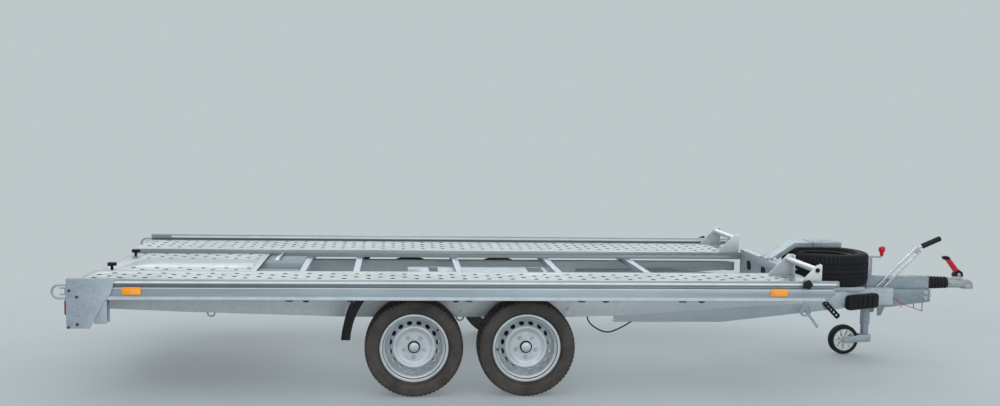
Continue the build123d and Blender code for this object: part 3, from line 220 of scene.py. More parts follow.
def rolled(name, light, dark, metallic, rough):
    """Drawn or rolled metal, with fine lines along the trailer."""
    paint = Paint(name)
    lines = paint.noise(30, 6, 0.7, (0.04, 1, 1))
    clouds = paint.noise(1.7, 5, 0.6)
    base = paint.mix(paint.ramp(lines, 0, 1, 0.3, 0.7), dark, light)
    base = paint.mix(paint.ramp(clouds, 0, 0.4, 0.45, 0.75), base, shade(dark, 0.86))
    spots = paint.noise(55, 4, 0.7)
    base = paint.mix(paint.ramp(spots, 0, 0.35, 0.62, 0.74), base, shade(dark, 0.7))
    paint.bump(paint.noise(120, 4, 0.6, (0.05, 1, 1)), 0.18, 0.0005)
    return paint.set(
        Base_Color=base, Metallic=metallic, Roughness=paint.ramp(clouds, rough - 0.06, rough + 0.08)
    )


def rubber(name, colour, dust, amount):
    """Rubber with clouds and specks of dust."""
    paint = Paint(name)
    clouds = paint.noise(9, 6, 0.65)
    specks = paint.noise(70, 5, 0.7)
    base = paint.mix(paint.ramp(clouds, 0, amount, 0.35, 0.68), colour, dust)
    base = paint.mix(paint.ramp(specks, 0, 0.35, 0.55, 0.75), base, shade(dust, 1.5))
    paint.bump(paint.noise(420, 3), 0.35, 0.0004)
    return paint.set(
        Base_Color=base, Roughness=paint.ramp(specks, 0.66, 0.86), Specular_IOR_Level=0.35
    )


def plastic(name, colour, worn, rough):
    paint = Paint(name)
    clouds = paint.noise(14, 5, 0.6)
    base = paint.mix(paint.ramp(clouds, 0, 0.6, 0.45, 0.75), colour, worn)
    paint.bump(paint.noise(600, 2), 0.25, 0.0003)
    return paint.set(
        Base_Color=base, Roughness=paint.ramp(clouds, rough, rough + 0.14), Specular_IOR_Level=0.28
    )


def coated(name, light, dark, metallic, rough, grain):
    """Painted or plated metal with faint clouds and small dark specks."""
    paint = Paint(name)
    clouds = paint.noise(11, 5, 0.6)
    base = paint.mix(paint.ramp(clouds, 0, 1, 0.35, 0.7), light, dark)
    specks = paint.noise(90, 5, 0.7)
    base = paint.mix(paint.ramp(specks, 0, 0.4, 0.6, 0.75), base, shade(dark, 0.6))
    paint.bump(paint.noise(grain, 3), 0.2, 0.0004)
    return paint.set(
        Base_Color=base, Metallic=metallic, Roughness=paint.ramp(specks, rough, rough + 0.14)
    )


def lens(name, colour, deep):
    paint = Paint(name)
    prisms = paint.cells(190, "Distance")
    base = paint.mix(paint.ramp(prisms, 0, 1, 0.1, 0.8), colour, deep)
    paint.bump(prisms, 0.5, 0.0008)
    return paint.set(Base_Color=base, Roughness=0.34, Coat_Weight=0.25, Coat_Roughness=0.12)


def rusty(name):
    paint = Paint(name)
    clouds = paint.noise(26, 6, 0.7)
    base = paint.mix(paint.ramp(clouds, 0, 1, 0.38, 0.66), IRON_COLOUR, RUST_COLOUR)
    paint.bump(paint.noise(180, 5, 0.7), 0.5, 0.001)
    return paint.set(Base_Color=base, Metallic=0.3, Roughness=paint.ramp(clouds, 0.55, 0.85))


# Each material: the function that makes it, its name, and the function's other values in its own order
PAINT_TABLE = (
    (galvanised, "galvanised", (0.4, 0.46, 0.505), (0.335, 0.39, 0.435), 110),
    # The next three are copies of galvanised with light and shade painted in: lighter as painted light on the
    # drawbar arms, darker as painted shade on the overrun housing and winch stand, lighter as painted light
    # on the side members, the wheel stops and the pieces on them
    (galvanised, "arm_galvanised", (0.48, 0.535, 0.57), (0.41, 0.465, 0.5), 110),
    (galvanised, "aged_galvanised", (0.29, 0.345, 0.38), (0.23, 0.28, 0.31), 110),
    (galvanised, "fresh_galvanised", (0.62, 0.655, 0.665), (0.54, 0.58, 0.59), 90),
    (rolled, "aluminium", (0.345, 0.405, 0.435), (0.255, 0.31, 0.34), 0.45, 0.38),
    (rolled, "plank_metal", (0.325, 0.365, 0.385), (0.25, 0.288, 0.305), 0.45, 0.38),
    (plastic, "hole_shade", (0.01, 0.011, 0.012), (0.02, 0.021, 0.022), 0.85),
    (rubber, "tyre_rubber", (0.034, 0.031, 0.029), (0.084, 0.074, 0.065), 0.8),
    (rubber, "clean_rubber", (0.005, 0.0055, 0.006), (0.011, 0.011, 0.012), 0.5),
    (coated, "rim_silver", (0.545, 0.585, 0.615), (0.43, 0.465, 0.49), 0.38, 0.32, 300),
    (coated, "rim_dark", (0.05, 0.05, 0.052), (0.03, 0.03, 0.032), 0.3, 0.36, 300),
    # The jockey wheel's white rim, and the painted highlight strips along the rails
    (coated, "rim_white", (0.74, 0.76, 0.76), (0.62, 0.64, 0.64), 0.05, 0.4, 300),
    # Painted shade: the dark strips along the rails, in a groove and under the lip
    (coated, "aged_iron", (0.12, 0.145, 0.16), (0.08, 0.1, 0.11), 0.3, 0.5, 200),
    (rusty, "brake_iron"),
    (plastic, "black_plastic", (0.004, 0.004, 0.005), (0.009, 0.009, 0.011), 0.48),
    (rubber, "black_rubber", (0.01, 0.01, 0.011), (0.026, 0.025, 0.025), 0.5),
    (coated, "cast_grey", (0.46, 0.49, 0.5), (0.33, 0.35, 0.36), 0.5, 0.4, 160),
    (coated, "bright_zinc", (0.56, 0.595, 0.62), (0.43, 0.465, 0.49), 0.7, 0.36, 260),
    (plastic, "red_plastic", (0.5, 0.012, 0.022), (0.36, 0.01, 0.016), 0.3),
    (lens, "red_lens", (0.42, 0.008, 0.01), (0.16, 0.002, 0.004)),
    (lens, "amber_lens", (0.95, 0.37, 0.008), (0.85, 0.27, 0.004)),
)
PAINTS = {name: make(name, *values) for make, name, *values in PAINT_TABLE}

# Mesh making

SHEET_ROUNDING = 0.0006
WASHER_THICKNESS = 0.0016


def finish(name, bm, slot, body="chassis", sharp=35, bevel=0.0, paint=None):
    """A mesh object from bm, shaded smooth up to its sharp edges, that rides on a body."""
    bmesh.ops.recalc_face_normals(bm, faces=bm.faces)
    for face in bm.faces:
        face.smooth = True
    for edge in bm.edges:
        edge.smooth = bevel > 0 or edge.calc_face_angle(0) < radians(sharp)
    mesh = bpy.data.meshes.new(name)
    bm.to_mesh(mesh)
    bm.free()
    mesh.materials.append(PAINTS[paint or slot])
    piece = bpy.data.objects.new(name, mesh)
    show(piece)
    if bevel:
        rounding = piece.modifiers.new("rounding", "BEVEL")
        rounding.width = bevel
        rounding.segments = 2
        rounding.angle_limit = radians(30)
        rounding.harden_normals = True
    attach(piece, body)
    return piece


def add_loops(bm, loops, caps=False):
    """Skins a list of closed loops of points into bm."""
    rings = [[bm.verts.new(p) for p in loop] for loop in loops]
    for first, second in zip(rings, rings[1:]):
        for i in range(len(first)):
            j = (i + 1) % len(first)
            bm.faces.new((first[i], first[j], second[j], second[i]))
    if caps:
        bm.faces.new(list(reversed(rings[0])))
        bm.faces.new(rings[-1])


def clean(bm):
    """Joins points that lie on each other."""
    bmesh.ops.remove_doubles(bm, verts=bm.verts, dist=1e-6)


def lathe(bm, profile, matrix, steps, closed=False):
    """Turns (radius, height) points round the matrix's Z axis. A closed profile joins its ends."""
    points = [*profile, profile[0]] if closed else profile
    rings = []
    for k in range(steps):
        a = tau * k / steps
        ring = [matrix @ Vector((r * cos(a), r * sin(a), h)) for r, h in points]
        rings.append([bm.verts.new(p) for p in ring])
    rings.append(rings[0])
    for first, second in zip(rings, rings[1:]):
        for i in range(len(first) - 1):
            bm.faces.new((first[i], second[i], second[i + 1], first[i + 1]))
    clean(bm)


def box(bm, low, high):
    """A box from its lowest to its highest corner."""
    low, high = Vector(low), Vector(high)
    size = Matrix.Diagonal((*(high - low), 1))
    bmesh.ops.create_cube(bm, size=1, matrix=Matrix.Translation((low + high) / 2) @ size)


def prism(bm, outline, start, end, matrix=Matrix.Identity(4)):
    """A closed outline of (x, y) points, extruded from height start to height end."""
    loops = [[matrix @ Vector((x, y, h)) for x, y in outline] for h in (start, end)]
    add_loops(bm, loops, caps=True)


def frame_at(origin, x_axis, z_axis):
    """Matrix of a place whose X and Z axes are given."""
    z = Vector(z_axis).normalized()
    x = Vector(x_axis).normalized()
    y = z.cross(x)
    return Matrix.Translation(Vector(origin)) @ Matrix((x, y, z)).transposed().to_4x4()


def circle(cx, cy, radius, count=20):
    turns = [tau * k / count for k in range(count)]
    return [(cx + radius * cos(a), cy + radius * sin(a)) for a in turns]


def rectangle(low_x, low_y, high_x, high_y):
    return [(low_x, low_y), (high_x, low_y), (high_x, high_y), (low_x, high_y)]


def mirrored(half):
    """Half of a section and its mirror image, which share the half's last point."""
    return half + [(r, -h) for r, h in reversed(half[:-1])]


def oval(cx, cy, length, height, count):
    """A slot with round ends, longer along x."""
    half = (length - height) / 2
    points = []
    for k in range(count):
        a = tau * k / count
        shift = half if cos(a) > 0 else -half
        points.append((cx + shift + height / 2 * cos(a), cy + height / 2 * sin(a)))
    return points


def plate(name, loops, thickness, matrix, slot, extra=None):
    """A flat sheet: the first loop is its outline and the others are holes. Height 0 is its middle."""
    curve = bpy.data.curves.new(name + "_outline", "CURVE")
    curve.dimensions = "2D"
    curve.fill_mode = "BOTH"
    curve.extrude = thickness / 2 - SHEET_ROUNDING
    curve.bevel_depth = SHEET_ROUNDING
    curve.bevel_resolution = 1
    curve.offset = -SHEET_ROUNDING
    for loop in loops:
        spline = curve.splines.new("POLY")
        spline.points.add(len(loop) - 1)
        for point, (x, y) in zip(spline.points, loop):
            point.co = (x, y, 0, 1)
        spline.use_cyclic_u = True
    holder = bpy.data.objects.new(name + "_outline", curve)
    show(holder)
    depsgraph = bpy.context.evaluated_depsgraph_get()
    mesh = bpy.data.meshes.new_from_object(holder.evaluated_get(depsgraph))
    bm = bmesh.new()
    bm.from_mesh(mesh)
    bmesh.ops.remove_doubles(bm, verts=bm.verts, dist=1e-5)
    bmesh.ops.transform(bm, matrix=matrix, verts=bm.verts)
    bpy.data.objects.remove(holder)
    bpy.data.curves.remove(curve)
    bpy.data.meshes.remove(mesh)
    if extra:
        extra(bm)
    return finish(name, bm, slot)


def tube(bm, path, radius, sides, caps=True, flat=1.0):
    """A round bar along a list of points, with rings set square to the path."""
    points = [Vector(p) for p in path]
    loops = []
    side = None
    for i, point in enumerate(points):
        before = points[max(i - 1, 0)]
        after = points[min(i + 1, len(points) - 1)]
        along = (after - before).normalized()
        if side is None:
            side = along.orthogonal().normalized()
        side = (side - along * side.dot(along)).normalized()
        other = along.cross(side)
        r = radius[i] if isinstance(radius, (list, tuple)) else radius
        turns = [tau * k / sides for k in range(sides)]
        loops.append([point + side * (r * cos(a)) + other * (r * flat * sin(a)) for a in turns])
    add_loops(bm, loops, caps=caps)


def hex_bolt(bm, place, direction, across, washer=True):
    """A chamfered hexagon head, standing out from place along direction, on a washer if it has one."""
    z = Vector(direction).normalized()
    matrix = frame_at(place, z.orthogonal(), z)
    base = WASHER_THICKNESS if washer else 0.0
    if washer:
        r = across * 0.82
        lathe(bm, [(0, 0), (r, 0), (r, base), (0, base)], matrix, 20)
    height = across * 0.55
    corner = across / sqrt(3)
    loops = []
    for scale, h in ((1.0, base), (1.0, base + height * 0.8), (0.86, base + height)):
        loops.append([matrix @ Vector((x, y, h)) for x, y in circle(0, 0, corner * scale, 6)])
    add_loops(bm, loops, caps=True)
    top = base + height
    tip = top + 0.002
    lathe(bm, [(0, top), (across * 0.24, top), (across * 0.2, tip), (0, tip)], matrix, 12)


# Wheels

# Tread: its blocks, the mesh steps of each, how they slant and how one shoulder's cuts shift
BLOCKS = 66
BLOCK_STEPS = 5
BLOCK_SLANT = 2.2
SHOULDER_SHIFT = 2
# How deep the grooves are, the cross cuts in each kind of ring, and the serrations beside the bead
GROOVE = 0.0055
CUTS = {"shoulder": GROOVE, "edge": 0.0012, "block": GROOVE * 0.8}
SERRATION = 0.0004
# Half of the tyre's section, from its middle to a bead: a kind of ring and each one's (radius, offset)
TYRE_HALF = (
    ("rib", (0.2625, 0.000), (0.2625, 0.0085), (0.2624, 0.0095)),
    ("floor", (0.2624, 0.0105), (0.2624, 0.0165)),
    ("rib", (0.2623, 0.0175)),
    ("block", (0.2622, 0.024), (0.2621, 0.031)),
    ("rib", (0.262, 0.04)),
    ("floor", (0.262, 0.041), (0.262, 0.048)),
    ("rib", (0.2618, 0.049)),
    ("shoulder", (0.2616, 0.056), (0.2612, 0.064), (0.2604, 0.072), (0.259, 0.0785), (0.2568, 0.0845)),
    ("shoulder", (0.2535, 0.0892)),
    ("edge", (0.2495, 0.0922)),
    ("wall", (0.245, 0.094), (0.24, 0.095), (0.239, 0.0962), (0.237, 0.0962), (0.236, 0.0957)),
    ("wall", (0.229, 0.0968), (0.2215, 0.0976), (0.215, 0.0978), (0.2135, 0.0988), (0.2115, 0.0988)),
    ("serrated", (0.21, 0.0976), (0.204, 0.0968)),
    ("wall", (0.1995, 0.095), (0.197, 0.0935), (0.1945, 0.0935), (0.193, 0.09), (0.1905, 0.08)),
    ("wall", (0.187, 0.0745), (0.185, 0.07), (0.1668, 0.0697), (0.1653, 0.068)),
)


def tyre_rows():
    """(radius, offset, kind) of each ring of the tyre, from its inner bead to its outer bead."""
    half = []
    for kind, *places in TYRE_HALF:
        sunk = GROOVE if kind == "floor" else 0.0
        half += [(r - sunk, w, kind) for r, w in places]
    return [(r, -w, kind) for r, w, kind in reversed(half[1:])] + half


def make_tyre(name, matrix, body, paint="tyre_rubber"):
    bm = bmesh.new()
    rows = tyre_rows()
    steps = BLOCKS * BLOCK_STEPS
    grid = []
    for k in range(steps):
        a = tau * k / steps
        ring = []
        for r, w, kind in rows:
            shift = SHOULDER_SHIFT if w > 0 and kind in ("shoulder", "edge") else 0
            radius = r - CUTS.get(kind, 0.0) if (k + shift) % BLOCK_STEPS == 0 else r
            turn = a + w * BLOCK_SLANT if kind == "block" else a
            if kind == "serrated" and k % 2:
                w += copysign(SERRATION, w)
            ring.append(matrix @ Vector((radius * cos(turn), radius * sin(turn), w)))
        grid.append([bm.verts.new(p) for p in ring])
    count = len(rows)
    for k in range(steps):
        first, second = grid[k], grid[(k + 1) % steps]
        for i in range(count):
            j = (i + 1) % count
            bm.faces.new((first[i], second[i], second[j], first[j]))
    return finish(name, bm, "tyre_rubber", body, sharp=28, paint=paint)


# The rim's disc: how far outboard it lies at each radius, and where its outer face is
DISC_LINE = (
    (0.0, 0.03), (0.04, 0.03), (0.078, 0.03), (0.086, 0.0315), (0.096, 0.0375),
    (0.102, 0.0405), (0.108, 0.0412), (0.113, 0.039), (0.118, 0.033), (0.136, 0.013),
    (0.1415, 0.009), (0.1455, 0.0075),
)
DISC_FACE = 0.004
DISC_THICKNESS = 0.0035
HOLE_SINK = 0.0008
VENTS = 16
WHEEL_BOLTS = 5
BOLT_SPAN = tau / WHEEL_BOLTS
BOLT_TURN = 0.31
BOLT_CIRCLE = 0.056
# Radii of the disc's plain rings, and the steps that each is turned in
DISC_RINGS = (
    ((0.078, 0.082, 0.086, 0.091, 0.096, 0.099, 0.102, 0.105, 0.108, 0.1105, 0.113, 0.1155), 128),
    ((0.1415, 0.1435, 0.1455), 128),
    ((0.0305, 0.033, 0.036), 60),
)
# Sections as (radius, offset): the rolled barrel, the hub's cap and the ring round it
RIM_BARREL = (
    (0.1825, 0.072), (0.1818, 0.0735), (0.18, 0.0742), (0.1735, 0.074), (0.17, 0.0736),
    (0.1682, 0.0725), (0.1673, 0.069), (0.1666, 0.062), (0.1656, 0.0585), (0.1635, 0.0572),
    (0.16, 0.056), (0.156, 0.0535), (0.1525, 0.049), (0.15, 0.04), (0.1475, 0.024),
    (0.1455, 0.012), (0.145, -0.026), (0.147, -0.032), (0.156, -0.038), (0.16, -0.042),
    (0.1612, -0.048), (0.162, -0.06), (0.165, -0.07), (0.173, -0.0725), (0.1815, -0.0738),
    (0.1825, -0.072), (0.1815, -0.07), (0.174, -0.0697), (0.1668, -0.068), (0.165, -0.06),
    (0.165, -0.042), (0.158, -0.035), (0.149, -0.03), (0.149, 0.015), (0.152, 0.04),
    (0.156, 0.05), (0.163, 0.054), (0.168, 0.057), (0.1692, 0.066), (0.1715, 0.07),
    (0.1815, 0.0704),
)
HUB_CAP = ((0.0, 0.052), (0.01, 0.0518), (0.02, 0.0505), (0.0255, 0.0482), (0.0265, 0.0462), (0.0265, 0.034))
CAP_RING = (
    (0.0268, 0.034), (0.0268, 0.0455), (0.0285, 0.047), (0.031, 0.0462), (0.0325, 0.043), (0.033, 0.034),
)
# The valve: (share of its length, radius) of each ring
VALVE = (
    (0, 0.0072), (0.25, 0.0062), (0.5, 0.0048), (0.62, 0.0045), (0.64, 0.0052), (0.95, 0.0052), (1.0, 0.0035),
)


def disc_offset(r):
    """How far outboard the rim's disc lies at a radius."""
    for (r0, w0), (r1, w1) in zip(DISC_LINE, DISC_LINE[1:]):
        if r <= r1:
            return w0 + (w1 - w0) * (r - r0) / (r1 - r0)
    return DISC_LINE[-1][1]


def ring_patch(bm, matrix, inner, outer, start, span, cx, rx, ry, steps=8, depth=4):
    """A sector of the disc between two radii, with an oval hole of half sizes rx along and ry across."""
    corners = [(outer, start), (outer, start + span), (inner, start + span), (inner, start)]
    counts = (steps, depth, steps, depth)
    edge = []
    for (r0, a0), (r1, a1), count in zip(corners, corners[1:] + corners[:1], counts):
        edge += [(r0 + (r1 - r0) * k / count, a0 + (a1 - a0) * k / count) for k in range(count)]
    centre = start + span / 2
    loops = []
    for share in (0.0, 0.35, 0.7, 1.0):
        loop = []
        for r, a in edge:
            x, y = (a - centre) * cx, r - cx
            reach = atan2(y / ry, x / rx)
            hx, hy = rx * cos(reach), ry * sin(reach)
            px, py = x + (hx - x) * share, y + (hy - y) * share
            radius, angle = cx + py, centre + px / cx
            sink = HOLE_SINK if share == 1.0 else 0.0
            height = disc_offset(radius) + DISC_FACE - sink
            loop.append(matrix @ Vector((radius * cos(angle), radius * sin(angle), height)))
        loops.append(loop)
    add_loops(bm, loops)


def make_hub(name, matrix, body):
    """The wheel's bolts, its hub cap and the ring round the cap."""
    bm = bmesh.new()
    outboard = matrix.to_3x3() @ Vector((0, 0, 1))
    for k in range(WHEEL_BOLTS):
        a = (k + 0.5) * BOLT_SPAN + BOLT_TURN
        place = matrix @ Vector((BOLT_CIRCLE * cos(a), BOLT_CIRCLE * sin(a), 0.0335))
        hex_bolt(bm, place, outboard, 0.016, washer=False)
    finish(name + "_bolts", bm, "bright_zinc", body, paint="cast_grey")
    for part, section, slot in (("_cap", HUB_CAP, "bright_zinc"), ("_cap_ring", CAP_RING, "black_plastic")):
        bm = bmesh.new()
        lathe(bm, section, matrix, 48)
        finish(name + part, bm, slot, body)


def make_valve(name, matrix, body, angle):
    out = Vector((cos(angle), sin(angle), 0))
    foot = out * 0.1575 + Vector((0, 0, 0.034))
    tip = out * 0.1545 + Vector((0, 0, 0.066))
    path = [matrix @ (foot + (tip - foot) * share) for share, radius in VALVE]
    bm = bmesh.new()
    tube(bm, path, [radius for share, radius in VALVE], 16)
    finish(name + "_valve", bm, "black_rubber", body)


def make_rim(name, matrix, body, valve_angle, paint="rim_silver", bare=False):
    """A pressed disc in a rolled barrel, with its valve and, unless it's bare, its hub."""
    bm = bmesh.new()
    span = tau / VENTS
    for k in range(VENTS):
        ring_patch(bm, matrix, 0.1155, 0.1415, k * span, span, 0.1285, 0.015, 0.0095)
    for k in range(WHEEL_BOLTS):
        start = k * BOLT_SPAN + BOLT_TURN
        ring_patch(bm, matrix, 0.036, 0.078, start, BOLT_SPAN, BOLT_CIRCLE, 0.0085, 0.0085, steps=12)
    for radii, steps in DISC_RINGS:
        lathe(bm, [(r, disc_offset(r) + DISC_FACE) for r in radii], matrix, steps)
    disc_faces = list(bm.faces)
    bmesh.ops.recalc_face_normals(bm, faces=disc_faces)
    bmesh.ops.solidify(bm, geom=disc_faces, thickness=DISC_THICKNESS)
    lathe(bm, RIM_BARREL, matrix, 128, closed=True)
    rim = finish(name, bm, "rim_silver", body, sharp=32, paint=paint)
    if not bare:
        make_hub(name, matrix, body)
    make_valve(name, matrix, body, valve_angle)
    return rim


def make_wheels():
    for side, side_name in SIDES:
        for place_name, valve in (("rear", 0.66), ("front", 3.2)):
            spot = f"{place_name}_{side_name}"
            low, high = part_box(f"tyre_{spot}")
            matrix = frame_at((low + high) / 2, (-side, 0, 0), (0, side, 0))
            tyre = make_tyre(f"road_tyre_{spot}", matrix, f"wheel_{spot}")
            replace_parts(tyre, f"tyre_{spot}")
            rim = make_rim(f"road_rim_{spot}", matrix, f"wheel_{spot}", valve)
            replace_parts(rim, f"rim_{spot}")
    low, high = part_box("spare_tyre")
    matrix = Matrix.Translation((low + high) / 2)
    tyre = make_tyre("carried_tyre", matrix, "chassis", "clean_rubber")
    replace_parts(tyre, "spare_tyre")
    rim = make_rim("carried_rim", matrix, "chassis", 2.2, paint="rim_dark", bare=True)
    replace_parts(rim, "spare_rim")


# Tracks and ramp cover

HOLE_PITCH = 0.13
HOLE_RADIUS = 0.014
# Rows of holes across a track and across the cover, in the even columns and in the odd ones
TRACK_ROWS = ((0.565, 0.671, 0.778, 0.884), (0.618, 0.724, 0.831))
COVER_ROWS = ((0.2, 0.336), (0.268, 0.404))
COVER_COLUMNS = 12
# (growth over the hole's radius, height over the sheet) of the flat ring round a hole and of its walls
COLLAR = ((0.0032, 0.0), (0.0022, 0.0004), (0.001, 0.0004), (0.0, -0.0006))
HOLE_WALL = ((0.0, -0.0003), (-0.0004, -0.003), (-0.001, -0.009), (-0.0006, -0.009))
TRACK_SHEET = 0.0035
TRACK_DEPTH = 0.0455
TRACK_RIBS = (0.6442, 0.8046)
# Small holes along a track's inner edge: the first one's place, their pitch, drop, radius and count
EDGE_START, EDGE_PITCH, EDGE_DROP, EDGE_RADIUS, EDGE_COUNT = 3.27, 0.0893, 0.0205, 0.0055, 7
# The ramp knobs' places, where the cover has no holes
KNOB_X, KNOB_Y = 0.05, 0.29


def hole_rings(bm, places, z, profile):
    """The profile, turned round the middle of each hole."""
    for x, y in places:
        loops = []
        for growth, h in profile:
            loops.append([Vector((px, py, z + h)) for px, py in circle(x, y, HOLE_RADIUS + growth)])
        add_loops(bm, loops)


def hole_walls(name, places, z):
    """The dark walls inside the pressed holes, painted shade."""
    bm = bmesh.new()
    hole_rings(bm, places, z, HOLE_WALL)
    finish(name, bm, "plank_metal", paint="hole_shade")


def make_tracks():
    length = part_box("track_right")[1].x - rear_x
    end_x = rear_x + length
    for side, side_name in SIDES:
        places = []
        for column in range(1, int(2 * length / HOLE_PITCH)):
            x = rear_x + column * HOLE_PITCH / 2 + 0.0004
            if x < end_x - 0.02:
                places += [(x, side * y) for y in TRACK_ROWS[column % 2]]
        outline = rectangle(rear_x, side * track_inner_y, end_x, side * track_outer_y)

        def extras(bm, places=places, side=side):
            hole_rings(bm, places, track_z, COLLAR)
            half = TRACK_SHEET / 2
            for y in (*TRACK_RIBS, track_outer_y - half):
                low = (rear_x, side * y - half, track_z - TRACK_DEPTH)
                box(bm, low, (end_x, side * y + half, track_z - 0.003))

        deck = plate(
            f"perforated_track_{side_name}",
            [outline] + [circle(x, y, HOLE_RADIUS) for x, y in places],
            TRACK_SHEET,
            Matrix.Translation((0, 0, track_z - TRACK_SHEET / 2)),
            "plank_metal",
            extra=extras,
        )
        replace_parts(deck, f"track_{side_name}")
        hole_walls(f"track_hole_walls_{side_name}", places, track_z)
        edge = [rectangle(rear_x, track_z - TRACK_DEPTH, end_x, track_z - 0.001)]
        for k in range(EDGE_COUNT):
            edge.append(circle(rear_x + EDGE_START + EDGE_PITCH * k, track_z - EDGE_DROP, EDGE_RADIUS, 14))
        place = frame_at((0, side * (track_inner_y + TRACK_SHEET / 2), 0), (1, 0, 0), (0, -1, 0))
        plate(f"track_edge_{side_name}", edge, TRACK_SHEET, place, "plank_metal")


def make_cover():
    low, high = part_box("ramp_cover")
    places = []
    for column in range(1, COVER_COLUMNS + 1):
        x = rear_x + column * HOLE_PITCH / 2 + 0.018
        for y in COVER_ROWS[column % 2]:
            if abs(x - rear_x - KNOB_X) > 0.05 or abs(y - KNOB_Y) > 0.04:
                places += [(x, y), (x, -y)]
    deck = plate(
        "perforated_cover",
        [rectangle(low.x, low.y, high.x, high.y)] + [circle(x, y, HOLE_RADIUS) for x, y in places],
        high.z - low.z,
        Matrix.Translation((0, 0, (low.z + high.z) / 2)),
        "plank_metal",
        extra=lambda bm: hole_rings(bm, places, high.z, COLLAR),
    )
    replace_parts(deck, "ramp_cover")
    hole_walls("cover_hole_walls", places, high.z)


# Frame and drawbar

SLOT_OF = {part["node"]: part["material_slot"] for part in frame["record"]["subparts"]}
BODY_OF = {node: body for body, held in frame["record"]["behaviour"]["bodies"].items() for node in held}

# How far each node's sharp edges are rounded
ROUNDED = {
    "side_rail_right": 0.0012, "side_rail_left": 0.0012, "side_member_right": 0.0015,
    "side_member_left": 0.0015, "cross_bars": 0.0025, "ramps": 0.0007, "rear_beam": 0.0015,
    "rear_plates": 0.0012, "leg_brackets": 0.0012, "front_beam": 0.0015, "drawbar_arm_right": 0.0015,
    "drawbar_arm_left": 0.0015, "axle_rear": 0.002, "axle_front": 0.002, "swing_arms": 0.002,
    "mudguards": 0.0012, "cable_tray": 0.001, "spare_bracket": 0.0012, "winch_stand": 0.0015,
    "wheel_stops": 0.0015, "overrun_housing": 0.0015, "lashing_loops": 0.0008, "lashing_eyes": 0.0008,
    "coupling_head": 0.003, "coupling_handle": 0.0045, "jockey_clamp": 0.002, "jockey_sleeve": 0.0015,
    "jockey_leg": 0.001, "jockey_fork": 0.002, "side_markers": 0.0022, "tail_lamps": 0.005,
    "lock_knobs": 0.003, "wheel_chock": 0.006, "handbrake_lever": 0.0015,
}
# Nodes with a paint of their own in place of their slot's: copies of galvanised with the light and shade that
# falls on them painted in, lighter as painted light and darker as painted shade
NODE_PAINTS = {
    "side_member_right": "fresh_galvanised",
    "side_member_left": "fresh_galvanised",
    "drawbar_arm_right": "arm_galvanised",
    "drawbar_arm_left": "arm_galvanised",
    "winch_stand": "aged_galvanised",
    "wheel_stops": "fresh_galvanised",
    "overrun_housing": "aged_galvanised",
}


def round_nodes():
    """Copies of CAD nodes with their sharp edges rounded take the nodes' places."""
    for node, width in ROUNDED.items():
        bm = bmesh.new()
        bm.from_mesh(nodes[node].data)
        clean(bm)
        bmesh.ops.dissolve_limit(bm, angle_limit=radians(0.5), verts=bm.verts, edges=bm.edges)
        paint = NODE_PAINTS.get(node)
        piece = finish(f"{node}_rounded", bm, SLOT_OF[node], BODY_OF[node], bevel=width, paint=paint)
        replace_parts(piece, node)


def at(dx, y, z):
    """A point whose x is measured from the deck's rear edge."""
    return Vector((rear_x + dx, y, z))


def side_bolts(bm, dx, y, z, across, washer=True):
    """The same bolt on both sides of the trailer."""
    for side in (-1, 1):
        hex_bolt(bm, at(dx, side * y, z), (0, side, 0), across, washer)


def side_boxes(bm, start, end, inner_y, outer_y, low_z, high_z):
    """The same box on both sides of the trailer, from start to end along it."""
    for side in (-1, 1):
        near, far = sorted((side * inner_y, side * outer_y))
        box(bm, at(start, near, low_z), at(end, far, high_z))


# Bolts: place along the trailer, height and size across the flats, on the rear plates
PLATE_BOLTS = ((0.015, 0.589, 0.012), (0.053, 0.557, 0.012), (0.055, 0.418, 0.013), (0.012, 0.402, 0.011))
# The same on the side members, with how far out from the member they sit
MEMBER_BOLTS = ((2.592, 0.505, 0.015, 0.001), (2.592, 0.435, 0.015, 0.001), (2.003, 0.42, 0.019, 0.0))
# Place along the trailer and height, on the overrun housing
HOUSING_BOLTS = ((4.615, 0.365), (4.615, 0.44), (4.7, 0.44), (4.955, 0.4), (4.955, 0.435))


def make_bolts():
    """Hexagon bolts on the frame, the same on both sides."""
    bm = bmesh.new()
    for dx, z, across in PLATE_BOLTS:
        side_bolts(bm, dx, rail_y + 0.004, z, across, washer=False)
    finish("plate_bolts", bm, "bright_zinc", sharp=20, paint="rim_dark")
    member_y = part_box("side_member_left")[1].y
    bm = bmesh.new()
    for dx, z, across, out in MEMBER_BOLTS:
        side_bolts(bm, dx, member_y + out, z, across)
    housing_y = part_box("overrun_housing")[1].y
    for dx, z in HOUSING_BOLTS:
        side_bolts(bm, dx, housing_y, z, 0.017)
    beam_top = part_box("front_beam")[1].z
    for dx in (3.93, 3.95):
        for y in (-0.05, 0.05):
            hex_bolt(bm, at(dx, y, beam_top + 0.005), (0, 0, 1), 0.013)
    finish("frame_bolts", bm, "bright_zinc", sharp=20)


